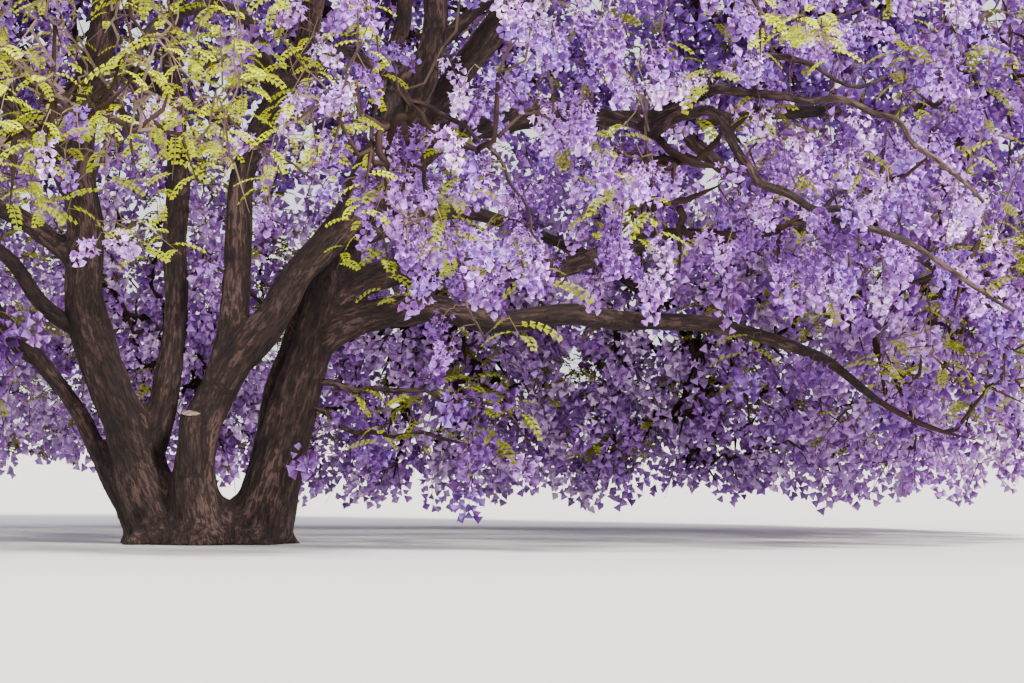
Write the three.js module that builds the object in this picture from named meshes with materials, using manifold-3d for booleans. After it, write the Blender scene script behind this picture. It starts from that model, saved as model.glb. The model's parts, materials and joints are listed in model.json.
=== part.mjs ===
// A mature jacaranda in full blossom: several stems from one broad root flare, long
// spreading boughs, and a wide crown whose outer skirt weeps almost to the ground at the back.
// Millimetres, +Z up. The origin is the centre of the flat cut at ground level.
// +X is the viewer's right and +Y runs away from the viewer.
import * as THREE from "three";
import { mergeVertices } from "three/addons/utils/BufferGeometryUtils.js";
import Module from "manifold-3d";

const wasm = await Module();
wasm.setup();

// The whole crown: its axis, its reach to each side, and its levels.
const CROWN_X = 800;
const CROWN_Y = 300;
const REACH_RIGHT = 7200;
const REACH_LEFT = 7000;
const REACH_AWAY = 6300;
const REACH_NEAR = 5700;
const LOBES = [[3, 0.05, 60], [5, 0.035, 200]]; // waves round the outline: count, depth, phase
const CROWN_TOP = 9300;
const CROWN_WIDEST = 3900;
const SKIRT_DRAWN_IN = 0.1;
// Height of the skirt's hem at eight points round the crown, from +X turning towards +Y.
const HEM_HEIGHTS = [650, 400, 450, 700, 1250, 1900, 1650, 1450];
const SHELL_INNER_REACH = 0.6; // the hollow under the crown, as a share of its outline
const SHELL_INNER_TOP = 0.62;

// Root flare: the mound under the stems, and the swell of each stem's own foot.
const FLARE_HALF_X = 650;
const FLARE_HALF_Y = 480;
const FLARE_HEIGHT = 330;
const FLARE_SHOULDER = 1.7; // power of its profile: over 1 spreads the foot
const FLARE_LOBES = 7;
const FLARE_LOBE_DEPTH = 0.1;
const FLARE_LOBE_PHASE = 34;
const FLARE_TOP_SHARE = 0.3;
const FLARE_SIDES = 28;
const FLARE_RINGS = 5;
const FOOT_DEPTH = 0.3; // a stem's line starts at this share of the mound's height
const FOOT_SWELL = 0.35;
const FOOT_SWELL_LENGTH = 0.05;

// Gaps and facets.
const GAP = 0.35; // between solids that meet
const STEEP = 0.7; // a way whose upward part is larger takes its sides from +X
const LIMB_STEPS = 48; // steps used to work out a limb's line
const RING_SPACING = 620; // along a limb
const STEM_SIDES = 9;
const BOUGH_SIDES = 7;
const STOUT_RADIUS = 110; // a limb this thick at its foot has the sides of a stem
const TAPER_POWER = 0.85;
const COLLAR = 0.28; // extra radius where a limb leaves its parent
const COLLAR_LENGTH = 0.07;

// Foliage. Each twig ends in a spray that stands for many of the real blossoms or leaves.
const TIP_SPACING = 1300; // between the tips of the sprays
const SPRAY_LENGTH = 1000;
const SPRAY_WIDEST = 0.4; // share of its length
const BLOSSOM_RADIUS = 320;
const LEAF_RADIUS = 270;
const LEAF_FLATNESS = 0.16;
const LEAF_SHARE = 0.25;
const SPRAY_ROOM = 400; // between the middle lines of two sprays
const SPRAY_SIZES = [1, 0.7]; // tried in turn, with the droops, until a spray has room
const DROOPS = [0.35, 0.9, -0.4, 1.6];
const TWIG_TIP_RADIUS = 16;
const TWIG_PIPE_POWER = 0.42; // a twig's radius grows with the sprays that it carries
const STOUTEST_TWIG = 42;
const FORK_SHARE = 0.5; // a twig leaves its parent twig this far along it
const STEM_FORK_SHARE = 0.95; // and a mass's stem this far along it
const LINE_SHARES = [0.7, 0.35, 0]; // points of a spray's middle line, back from its tip
const SHORTEST_REACH = 1.1; // from a fork to a spray's tip, in lengths of the spray
const CELL_GAP = 12; // between neighbouring masses
const LIMB_CLEARANCE = 20;
const MASS_RADIUS = 3300;
const MASS_STEM_LENGTH = 520;
const MASS_STEM_SHARE = 0.95; // of its bough's tip radius, and its own taper
const SITE_AHEAD = 680; // a mass's site lies this far past its bough's tip
const TRIES = 1500;
const SEED_STEP = 7919;
const FEWEST_TWIGS = 3;

const COLOURS = {
  bark: { color: 0x4a3a32, roughness: 0.95, metalness: 0 },
  blossom: { color: 0x8a63c9, roughness: 0.75, metalness: 0 },
};

const radians = THREE.MathUtils.degToRad;

// A seeded sequence of numbers from 0 to 1.
function sequence(seed) {
  let state = seed;
  return () => {
    state = (Math.imul(state, 1664525) + 1013904223) >>> 0;
    return state / 4294967296;
  };
}

// A value read from an evenly spaced list, eased between its entries.
function eased(list, t) {
  const place = Math.min(Math.max(t, 0), 1) * (list.length - 1);
  const low = Math.min(Math.floor(place), list.length - 2);
  const share = place - low;
  return list[low] + (list[low + 1] - list[low]) * share * share * (3 - 2 * share);
}

function heading(azimuth, rise) {
  const a = radians(azimuth);
  const e = radians(rise);
  return new THREE.Vector3(Math.cos(a) * Math.cos(e), Math.sin(a) * Math.cos(e), Math.sin(e));
}

// The crown's outline seen from above: its reach from the axis at an angle.
function reachAt(angle) {
  const across = Math.cos(angle) / (Math.cos(angle) > 0 ? REACH_RIGHT : REACH_LEFT);
  const along = Math.sin(angle) / (Math.sin(angle) > 0 ? REACH_AWAY : REACH_NEAR);
  const waves = LOBES.reduce((sum, [count, depth, phase]) =>
    sum + depth * Math.sin(count * angle + radians(phase)), 1);
  return waves / Math.hypot(across, along);
}

function hemAt(angle) {
  const turns = ((angle / (2 * Math.PI)) % 1 + 1) % 1;
  return eased([...HEM_HEIGHTS, HEM_HEIGHTS[0]], turns);
}

// Where a point lies in the crown: its share of the reach, and its level above or below the widest.
function crownShares(p) {
  const x = p.x - CROWN_X;
  const y = p.y - CROWN_Y;
  const angle = Math.atan2(y, x);
  const out = Math.hypot(x, y) / reachAt(angle);
  const up = (p.z - CROWN_WIDEST) / (CROWN_TOP - CROWN_WIDEST);
  const down = (CROWN_WIDEST - p.z) / (CROWN_WIDEST - hemAt(angle));
  return { out, up, down };
}

function inCrown(p) {
  const { out, up, down } = crownShares(p);
  if (down > 1) return false;
  if (up < 0) return out <= 1 - SKIRT_DRAWN_IN * down * down && out >= SHELL_INNER_REACH;
  const inner = Math.hypot(out / SHELL_INNER_REACH, up / SHELL_INNER_TOP);
  return Math.hypot(out, up) <= 1 && inner >= 1;
}

// A point of the crown at an angle in degrees, a share of the reach and a height.
function crownPoint(degrees, share, height) {
  const angle = radians(degrees);
  const reach = reachAt(angle) * share;
  return new THREE.Vector3(CROWN_X + reach * Math.cos(angle), CROWN_Y + reach * Math.sin(angle), height);
}

// Stems and the boughs that show from the front. A limb leaves its parent at a share of the
// parent's length. Its rise and heading in degrees are evenly spaced along it. Heading 0 is
// the viewer's right and 90 is away.
const SWEPT = [
  { name: "right_stem", foot: [400, -40], length: 6900, radius: [190, 34],
    rise: [76, 76, 64, 50, 50, 46, 30], heading: [4, 6, 2, 5, 14, 20] },
  { name: "left_stem", foot: [-300, 0], length: 7300, radius: [185, 34],
    rise: [66, 70, 92, 97, 84, 72, 60], heading: [180, 180, 178, 170, 160] },
  { name: "centre_stem", foot: [-20, -180], length: 7600, radius: [155, 32],
    rise: [102, 60, 50, 60, 74, 76, 66, 58], heading: [-12, -18, 0, 55, 78, 88] },
  { name: "back_stem", foot: [330, 240], length: 6700, radius: [135, 30],
    rise: [78, 74, 54, 56, 52, 40], heading: [20, 20, 55, 82, 74, 60] },
  { name: "far_left_stem", foot: [-520, 60], length: 4700, radius: [76, 24],
    rise: [64, 60, 52, 50, 44, 24, 5], heading: [180, 180, 182, 178, 168] },
  { name: "upright_stem", from: "left_stem", at: 0.065, length: 7400, radius: [105, 30],
    rise: [72, 86, 92, 86, 80, 82, 80], heading: [20, 10, 60, 120, 100] },
  { name: "forward_stem", from: "centre_stem", at: 0.15, length: 6300, radius: [112, 30],
    rise: [76, 90, 62, 58, 62, 60, 46], heading: [20, 8, -40, -88, -100, -112] },
  { name: "low_right_bough", from: "right_stem", at: 0.215, length: 4500, radius: [120, 26],
    rise: [34, 2, -6, 0, -2, -24, -44], heading: [-8, -4, 2, -4, -10, -12] },
  { name: "mid_right_bough", from: "right_stem", at: 0.25, length: 5000, radius: [112, 26],
    rise: [40, 4, 2, 12, 8, 0, -14], heading: [10, 8, 14, 20, 26, 30] },
  { name: "high_right_bough", from: "right_stem", at: 0.44, length: 4300, radius: [86, 26],
    rise: [30, 6, 4, -6, 8, 0, 10], heading: [-4, -8, -2, 6, -2, -12] },
  { name: "weeping_right_bough", from: "high_right_bough", at: 0.46, length: 2500, radius: [56, 24],
    rise: [-24, -46, -16, -24, -34], heading: [-20, -14, -20, -28] },
  { name: "low_left_bough", from: "left_stem", at: 0.2, length: 4300, radius: [60, 24],
    rise: [36, 44, 40, 26, 8, -6, -22], heading: [180, 184, 196, 204, 206] },
  { name: "mid_left_bough", from: "left_stem", at: 0.285, length: 5000, radius: [70, 24],
    rise: [44, 22, 6, 8, 16, 24, 22], heading: [180, 182, 194, 202, 204] },
  { name: "high_left_bough", from: "left_stem", at: 0.36, length: 4600, radius: [96, 26],
    rise: [60, 40, 42, 42, 30, 22], heading: [186, 182, 176, 170, 164] },
];

// Boughs hidden from the front: rings of limbs that arch from a stem to a place in the crown.
const SKIRT_RISE = [44, -34];
const MIDDLE_RISE = [50, 12];
const SKIRT_SHARE = 0.7;
const MIDDLE_SHARE = 0.66;
const SKIRT_ABOVE_HEM = 1350;
const MIDDLE_HEIGHT = 5200;
const REACHING = [
  { ring: "skirt", side: "away", from: ["back_stem", "back_stem", "upright_stem", "upright_stem"],
    at: [0.3, 0.4, 0.3, 0.37], angles: [52, 80, 109, 138], radius: [72, 24] },
  { ring: "skirt", side: "near", from: ["left_stem", "forward_stem", "forward_stem", "right_stem"],
    at: [0.42, 0.36, 0.27, 0.32], angles: [226, 255, 282, 309], radius: [66, 24] },
  { ring: "middle", side: "away", from: ["back_stem", "centre_stem", "upright_stem"],
    at: [0.56, 0.6, 0.5], angles: [38, 84, 130], radius: [66, 24] },
  { ring: "middle", side: "near", from: ["left_stem", "forward_stem", "right_stem"],
    at: [0.58, 0.62, 0.5], angles: [232, 278, 322], radius: [64, 24] },
];

// A limb's line: positions at even steps, worked out from its rise and heading.
function sweptLine(limb, start) {
  const step = limb.length / LIMB_STEPS;
  const line = [start.clone()];
  for (let i = 0; i < LIMB_STEPS; i += 1) {
    const t = (i + 0.5) / LIMB_STEPS;
    const way = heading(eased(limb.heading, t), eased(limb.rise, t));
    line.push(line[i].clone().addScaledVector(way, step));
  }
  return line;
}

// A line that leaves at one slope and arrives at another, as a cubic between the two ends.
function archedLine(start, end, rises) {
  const azimuth = THREE.MathUtils.radToDeg(Math.atan2(end.y - start.y, end.x - start.x));
  const third = start.distanceTo(end) / 3;
  const curve = new THREE.CubicBezierCurve3(
    start,
    start.clone().addScaledVector(heading(azimuth, rises[0]), third),
    end.clone().addScaledVector(heading(azimuth, rises[1]), -third),
    end,
  );
  return curve.getPoints(LIMB_STEPS);
}

function limbRadius(limb, t) {
  const [foot, tip] = limb.radius;
  const collar = limb.from
    ? COLLAR * Math.exp(-t / COLLAR_LENGTH)
    : FOOT_SWELL * Math.exp(-t / FOOT_SWELL_LENGTH);
  return tip + (foot * (1 + collar) - tip) * (1 - t) ** TAPER_POWER;
}

function growLimbs() {
  const limbs = new Map();
  for (const spec of SWEPT) {
    const start = spec.foot
      ? new THREE.Vector3(spec.foot[0], spec.foot[1], FLARE_HEIGHT * FOOT_DEPTH)
      : limbs.get(spec.from).line[Math.round(spec.at * LIMB_STEPS)];
    limbs.set(spec.name, { ...spec, line: sweptLine(spec, start) });
  }
  for (const group of REACHING) {
    const skirt = group.ring === "skirt";
    group.angles.forEach((angle, i) => {
      const height = skirt ? hemAt(radians(angle)) + SKIRT_ABOVE_HEM : MIDDLE_HEIGHT;
      const end = crownPoint(angle, skirt ? SKIRT_SHARE : MIDDLE_SHARE, height);
      const from = group.from[i];
      const start = limbs.get(from).line[Math.round(group.at[i] * LIMB_STEPS)];
      const name = `${group.ring}_${group.side}_bough_${i + 1}`;
      const line = archedLine(start, end, skirt ? SKIRT_RISE : MIDDLE_RISE);
      limbs.set(name, { name, from, radius: group.radius, line });
    });
  }
  return limbs;
}

// A geometry's triangles as a solid, with the vertices that share a place merged.
function solidOf(geometry) {
  const plain = geometry.clone();
  plain.deleteAttribute("normal");
  plain.deleteAttribute("uv");
  const merged = mergeVertices(plain, 1e-3);
  return new wasm.Manifold(new wasm.Mesh({
    numProp: 3,
    vertProperties: new Float32Array(merged.attributes.position.array),
    triVerts: new Uint32Array(merged.index.array),
  }));
}

function geometryOf(solid) {
  const mesh = solid.getMesh();
  return new THREE.BufferGeometry()
    .setAttribute("position", new THREE.BufferAttribute(new Float32Array(mesh.vertProperties), 3))
    .setIndex(new THREE.BufferAttribute(new Uint32Array(mesh.triVerts), 1));
}

// The largest body of a solid: loose scraps and sealed hollows go.
function largestBody(solid) {
  return solid.decompose().reduce((a, b) => (b.volume() > a.volume() ? b : a));
}

// Two directions square to a line, turned as little as possible from ring to ring.
function sideways(way, last) {
  const across = last.clone().addScaledVector(way, -last.dot(way)).normalize();
  return [across, new THREE.Vector3().crossVectors(way, across)];
}

function wayAlong(line, i) {
  const ahead = line[Math.min(i + 1, line.length - 1)];
  return ahead.clone().sub(line[Math.max(i - 1, 0)]).normalize();
}

// A closed cylinder bent along a limb's line, with the limb's own taper.
function limbSolid(limb, extra) {
  const length = limb.line[0].distanceTo(limb.line[1]) * LIMB_STEPS;
  const sides = limb.radius[0] >= STOUT_RADIUS ? STEM_SIDES : BOUGH_SIDES;
  const shape = new THREE.CylinderGeometry(1, 1, 1, sides, Math.round(length / RING_SPACING));
  const rings = [];
  const steep = Math.abs(wayAlong(limb.line, 0).z) > STEEP;
  let across = steep ? new THREE.Vector3(1, 0, 0) : new THREE.Vector3(0, 0, 1);
  for (let i = 0; i <= LIMB_STEPS; i += 1) {
    const way = wayAlong(limb.line, i);
    const [u, v] = sideways(way, across);
    across = u;
    rings.push({ u, v });
  }
  const places = shape.attributes.position;
  for (let i = 0; i < places.count; i += 1) {
    const t = places.getY(i) + 0.5;
    const at = t * LIMB_STEPS;
    const low = Math.min(Math.floor(at), LIMB_STEPS - 1);
    const ring = rings[Math.round(at)];
    const centre = limb.line[low].clone().lerp(limb.line[low + 1], at - low);
    const radius = limbRadius(limb, t) + extra;
    centre.addScaledVector(ring.u, places.getZ(i) * radius);
    centre.addScaledVector(ring.v, places.getX(i) * radius);
    places.setXYZ(i, centre.x, centre.y, centre.z);
  }
  return solidOf(shape);
}

// The mound that the stems rise from, lobed where its roots run out, cut flat at the ground.
function flareSolid(extra) {
  const shape = new THREE.CylinderGeometry(1, 1, 1, FLARE_SIDES, FLARE_RINGS);
  const places = shape.attributes.position;
  for (let i = 0; i < places.count; i += 1) {
    const up = places.getY(i) + 0.5;
    const angle = Math.atan2(places.getZ(i), places.getX(i));
    const round = Math.hypot(places.getX(i), places.getZ(i));
    const wave = Math.sin(FLARE_LOBES * angle + radians(FLARE_LOBE_PHASE));
    const lobes = 1 + FLARE_LOBE_DEPTH * (1 - up) * wave;
    const share = FLARE_TOP_SHARE + (1 - FLARE_TOP_SHARE) * (1 - up) ** (1 / FLARE_SHOULDER);
    places.setXYZ(i,
      round * Math.cos(angle) * (FLARE_HALF_X * share * lobes + extra),
      -round * Math.sin(angle) * (FLARE_HALF_Y * share * lobes + extra),
      up * (FLARE_HEIGHT + extra));
  }
  return solidOf(shape);
}

// Each limb is cut clear of the flare and of every limb before it.
function cutLimbs(limbs) {
  const cutters = [flareSolid(GAP)];
  const solids = new Map([["trunk_flare", flareSolid(0)]]);
  for (const limb of limbs.values()) {
    let solid = limbSolid(limb, 0);
    for (const cutter of cutters) solid = solid.subtract(cutter);
    solids.set(limb.name, largestBody(solid));
    cutters.push(limbSolid(limb, GAP));
  }
  return solids;
}

// Every limb and the flare, grown by the clearance that twigs keep to them.
function limbBarrier(limbs) {
  const grown = [...limbs.values()].map((limb) => limbSolid(limb, LIMB_CLEARANCE));
  return wasm.Manifold.union([flareSolid(LIMB_CLEARANCE), ...grown]);
}

function foliageSites(limbs) {
  return [...limbs.values()].map((limb) => {
    const tip = limb.line[LIMB_STEPS];
    const way = wayAlong(limb.line, LIMB_STEPS);
    return tip.clone().addScaledVector(way, SITE_AHEAD);
  });
}

// A mass keeps to the points that are nearer to its site than to any other.
function inCell(p, sites, own) {
  return sites.every((site, i) => i === own
    || p.clone().sub(site.clone().add(sites[own]).multiplyScalar(0.5))
      .dot(sites[own].clone().sub(site).normalize()) > CELL_GAP / 2);
}

// Three corners round a point of a twig or spray, square to a way. The first lies as near to
// a direction across as it can, so that the rings of one twig don't twist.
function triangleRound(centre, way, across, radius, flatness) {
  const [u, v] = sideways(way, across);
  return [0, 1, 2].map((i) => {
    const angle = (i / 3) * 2 * Math.PI;
    return centre.clone().addScaledVector(u, Math.cos(angle) * radius)
      .addScaledVector(v, Math.sin(angle) * radius * flatness);
  });
}

// A three-sided solid through rings of three corners, closed by a face at its root and by a
// last ring or a point at its tip.
function threeSided(rings, tip) {
  const corners = [...rings.flat(), ...(tip ? [tip] : [])];
  const faces = [0, 2, 1];
  const last = (rings.length - 1) * 3;
  for (let i = 0; i < 3; i += 1) {
    const next = (i + 1) % 3;
    for (let ring = 0; ring < last; ring += 3) {
      faces.push(ring + i, ring + next, ring + 3 + next, ring + i, ring + 3 + next, ring + 3 + i);
    }
    if (tip) faces.push(last + i, last + next, last + 3);
  }
  if (!tip) faces.push(last, last + 1, last + 2);
  return new THREE.BufferGeometry()
    .setAttribute("position", new THREE.Float32BufferAttribute(corners.flatMap((c) => c.toArray()), 3))
    .setIndex(faces);
}

// The rings of a twig with its spray. The spray's widest ring comes last.
function twigRings({ start, end, across, wide }, foot, neck) {
  const way = end.clone().sub(start).normalize();
  const rings = [
    triangleRound(start, way, across, foot, 1),
    triangleRound(end, way, across, neck, 1),
  ];
  return wide ? [...rings, wide] : rings;
}

// A twig from a fork to a spray whose tip is given, in the first size and droop that has room.
function fitTwig(start, tip, random, hasRoom) {
  const across = new THREE.Vector3(random() - 0.5, random() - 0.5, random() - 0.5);
  const isLeaf = random() < LEAF_SHARE;
  const way = tip.clone().sub(start).normalize();
  for (const size of SPRAY_SIZES) {
    const length = SPRAY_LENGTH * size;
    const radius = (isLeaf ? LEAF_RADIUS : BLOSSOM_RADIUS) * size;
    if (start.distanceTo(tip) < length * SHORTEST_REACH) continue;
    for (const droop of DROOPS) {
      const lean = way.clone().add(new THREE.Vector3(0, 0, -droop)).normalize();
      const back = (share) => tip.clone().addScaledVector(lean, -length * share);
      const [towards] = sideways(back(1).sub(start).normalize(), across);
      const widest = back(1 - SPRAY_WIDEST);
      const wide = triangleRound(widest, lean, towards, radius, isLeaf ? LEAF_FLATNESS : 1);
      const line = LINE_SHARES.map(back);
      const twig = { start, end: back(1), across, wide, tip, line, load: 0 };
      if (hasRoom(twig)) return twig;
    }
  }
  return null;
}

// Twigs of one mass: each joins the nearest twig, from the stem outwards, and ends in a spray.
function growMass(index, limb, sites, barrier) {
  const random = sequence(SEED_STEP * (index + 1));
  const root = limb.line[LIMB_STEPS];
  const way = wayAlong(limb.line, LIMB_STEPS);
  const tips = [];
  for (let i = 0; i < TRIES; i += 1) {
    const p = new THREE.Vector3(random() * 2 - 1, random() * 2 - 1, random() * 2 - 1);
    p.multiplyScalar(MASS_RADIUS).add(sites[index]);
    const spaced = tips.every((tip) => tip.distanceTo(p) > TIP_SPACING);
    if (spaced && inCrown(p) && inCell(p, sites, index)) tips.push(p);
  }
  tips.sort((a, b) => a.distanceTo(root) - b.distanceTo(root));
  const start = root.clone().addScaledVector(way, GAP);
  const across = new THREE.Vector3(-way.y, way.x, 0);
  const end = start.clone().addScaledVector(way, MASS_STEM_LENGTH);
  const twigs = [{ start, end, across, load: 0 }];
  const forkOf = (twig) => twig.start.clone().lerp(twig.end, twig.tip ? FORK_SHARE : STEM_FORK_SHARE);
  const hasRoom = (twig) => {
    const apart = (a, b) => a.line.every((p) => b.line.every((q) => p.distanceTo(q) > SPRAY_ROOM));
    if (!twigs.every((other) => !other.tip || apart(twig, other))) return false;
    const rings = twigRings(twig, STOUTEST_TWIG, STOUTEST_TWIG);
    if (![...rings.flat(), twig.tip].every((p) => inCell(p, sites, index))) return false;
    return solidOf(threeSided(rings, twig.tip)).intersect(barrier).isEmpty();
  };
  for (const tip of tips) {
    const parent = twigs.reduce((a, b) =>
      (forkOf(b).distanceTo(tip) < forkOf(a).distanceTo(tip) ? b : a));
    const twig = fitTwig(forkOf(parent), tip, random, hasRoom);
    if (!twig) continue;
    twigs.push({ ...twig, parent });
    for (let carrier = twigs[twigs.length - 1]; carrier; carrier = carrier.parent) carrier.load += 1;
  }
  return twigs;
}

function massSolid(limb, twigs) {
  const solids = twigs.map((twig) => {
    const radius = Math.min(TWIG_TIP_RADIUS * Math.max(twig.load, 1) ** TWIG_PIPE_POWER, STOUTEST_TWIG);
    const foot = twig.parent ? radius : limb.radius[1] * MASS_STEM_SHARE;
    const neck = twig.parent ? TWIG_TIP_RADIUS : foot * MASS_STEM_SHARE;
    return solidOf(threeSided(twigRings(twig, foot, neck), twig.tip));
  });
  return largestBody(wasm.Manifold.union(solids));
}

function meshOf(name, solid, colour) {
  const mesh = new THREE.Mesh(geometryOf(solid), new THREE.MeshStandardMaterial(COLOURS[colour]));
  mesh.name = name;
  return mesh;
}

const tree = new THREE.Group();
tree.name = "jacaranda_tree";
const limbs = growLimbs();
for (const [name, solid] of cutLimbs(limbs)) tree.add(meshOf(name, solid, "bark"));
const sites = foliageSites(limbs);
const barrier = limbBarrier(limbs);
[...limbs.values()].forEach((limb, index) => {
  const grown = growMass(index, limb, sites, barrier);
  if (grown.length < FEWEST_TWIGS) return;
  tree.add(meshOf(`foliage_${limb.name}`, massSolid(limb, grown), "blossom"));
});

export default tree;
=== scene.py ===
"""A mature jacaranda in full violet blossom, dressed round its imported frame.

The limbs and the masses of foliage are grown again here by the rule of the part's source, in
metres, and carried on to finer twigs, panicles of trumpet flowers and feathery new leaves.
+X is the viewer's right, +Y runs away from the viewer and the ground is at z = 0.
"""

import json
import logging
import math
from dataclasses import dataclass, field
from enum import Enum

import bpy
import numpy as np
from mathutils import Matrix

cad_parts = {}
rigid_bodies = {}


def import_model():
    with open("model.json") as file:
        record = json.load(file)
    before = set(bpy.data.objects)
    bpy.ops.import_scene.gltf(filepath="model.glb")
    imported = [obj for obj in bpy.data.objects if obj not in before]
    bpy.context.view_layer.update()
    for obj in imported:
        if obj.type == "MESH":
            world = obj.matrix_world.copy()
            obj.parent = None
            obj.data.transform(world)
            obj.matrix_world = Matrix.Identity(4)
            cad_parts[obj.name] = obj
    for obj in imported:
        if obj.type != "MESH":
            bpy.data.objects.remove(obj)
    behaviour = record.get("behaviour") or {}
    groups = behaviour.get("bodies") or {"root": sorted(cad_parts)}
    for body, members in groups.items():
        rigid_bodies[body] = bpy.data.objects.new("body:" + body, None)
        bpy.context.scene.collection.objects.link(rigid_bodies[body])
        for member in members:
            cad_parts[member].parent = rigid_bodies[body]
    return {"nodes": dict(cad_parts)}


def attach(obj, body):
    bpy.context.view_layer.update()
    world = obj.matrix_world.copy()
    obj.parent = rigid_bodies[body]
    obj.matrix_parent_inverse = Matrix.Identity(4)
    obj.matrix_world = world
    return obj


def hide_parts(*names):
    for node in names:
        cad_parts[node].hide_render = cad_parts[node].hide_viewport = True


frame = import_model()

LOG = logging.getLogger("jacaranda")
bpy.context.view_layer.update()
UP = np.array([0.0, 0.0, 1.0])
VIEWER = (2.29, -28.8, 0.86)
MOST_TRIANGLES = 190_000
GOLDEN_ANGLE = 2.39996
FULL_TURN = 6.283
HASH_FACTORS = (73856093, 19349663, 83492791, 2654435761)

Colour = tuple[float, float, float]
Surface = tuple[np.ndarray, np.ndarray, np.ndarray, np.ndarray]
Ramp = tuple[float, float]


@dataclass(frozen=True)
class Seeds:
    """The numbers that choose each pattern of noise and each run of random draws."""

    limb: int = 50
    shoot: int = 80
    lump: int = 5
    flute: int = 17
    billow: int = 61
    rag: int = 67
    patch: int = 5
    column: int = 7
    mass: int = 7919
    spur: int = 97
    crook: int = 41
    axis: int = 73
    tint: int = 79
    tint_patch: int = 31
    flower: int = 100
    green: int = 89
    leaf: int = 200
    pale: int = 17


SEEDS = Seeds()


def unit(vectors: np.ndarray) -> np.ndarray:
    """Each vector divided by its length."""
    return vectors / np.maximum(np.linalg.norm(vectors, axis=-1, keepdims=True), 1e-9)


def ramp(values: np.ndarray, start: float, width: float) -> np.ndarray:
    """How far values are past a start, as shares of a width from 0 to 1. A width below 0 counts down."""
    return np.clip((values - start) / width, 0, 1)


def chance(rng: np.random.Generator, spread: Ramp, shape: tuple[int, ...] | int | None = None) -> np.ndarray:
    """Random values from a least value on, least + width u, by a spread of (least, width)."""
    return spread[0] + spread[1] * rng.random(shape)


def wobble(rng: np.random.Generator, width: float, shape: tuple[int, ...]) -> np.ndarray:
    """Random values about zero, (u - 1/2) width."""
    return (rng.random(shape) - 0.5) * width


def bowed(start: np.ndarray, bend: np.ndarray, end: np.ndarray, t: np.ndarray) -> np.ndarray:
    """Places at shares t of a quadratic: (1 - t)^2 start + 2t(1 - t) bend + t^2 end."""
    return (1 - t) ** 2 * start + 2 * t * (1 - t) * bend + t * t * end


def dealt_out(score: np.ndarray, shares: tuple[float, ...]) -> np.ndarray:
    """The class of each item, when they are ranked by score and cut up by the classes' shares."""
    order = np.argsort(np.argsort(score)) / len(score)
    return np.searchsorted(np.cumsum(shares)[:-1], order, side="right")


def heading(azimuth: np.ndarray, rise: np.ndarray) -> np.ndarray:
    """The unit way at an azimuth and a rise in degrees.

    Args:
        azimuth: Degrees from +X towards +Y.
        rise: Degrees above the level.

    Returns:
        (cos a cos e, sin a cos e, sin e), with one row for each pair of angles.
    """
    a, e = np.radians(azimuth), np.radians(rise)
    return np.stack([np.cos(a) * np.cos(e), np.sin(a) * np.cos(e), np.sin(e) + 0 * a], -1)


def eased(values: tuple[float, ...], t: np.ndarray) -> np.ndarray:
    """Values read from an evenly spaced list, with the smooth step 3s^2 - 2s^3 between entries.

    Args:
        values: The list.
        t: Places along it, from 0 to 1.

    Returns:
        One value for each place.
    """
    table = np.asarray(values, float)
    place = np.clip(t, 0, 1) * (len(table) - 1)
    low = np.minimum(np.floor(place).astype(int), len(table) - 2)
    share = place - low
    return table[low] + (table[low + 1] - table[low]) * share * share * (3 - 2 * share)


def lattice_noise(points: np.ndarray, seed: int) -> np.ndarray:
    """Smooth noise from 0 to 1: hashed values at whole-number corners, eased between them.

    Args:
        points: Places, one row each, in units of the noise's cell.
        seed: Chooses the pattern.

    Returns:
        One value for each place.
    """
    by_x, by_y, by_z, by_seed = HASH_FACTORS
    cell = np.floor(points).astype(np.int64)
    share = points - cell
    share = share * share * (3 - 2 * share)
    total = np.zeros(len(points))
    for corner in np.ndindex(2, 2, 2):
        at = cell + np.array(corner)
        mixed = at[:, 0] * by_x ^ at[:, 1] * by_y ^ at[:, 2] * by_z ^ seed * by_seed
        mixed = (mixed ^ (mixed >> 13)) * 1274126177 & 0x7FFFFFFF
        value = ((mixed >> 8) & 0xFFFF) / 65535
        weight = np.prod(np.where(np.array(corner) == 1, share, 1 - share), axis=1)
        total += value * weight
    return total


def layered_noise(points: np.ndarray, seed: int, layers: int = 3) -> np.ndarray:
    """Layers of lattice noise, each of half the size and half the weight of the last.

    Args:
        points: Places, one row each, in units of the largest cell.
        seed: Chooses the pattern.
        layers: How many there are.

    Returns:
        One value for each place, from 0 to 1.
    """
    weights = 0.5 ** np.arange(layers)
    waves = [w * lattice_noise(points * 2.0**i, seed + i) for i, w in enumerate(weights)]
    return np.sum(waves, axis=0) / weights.sum()


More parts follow.
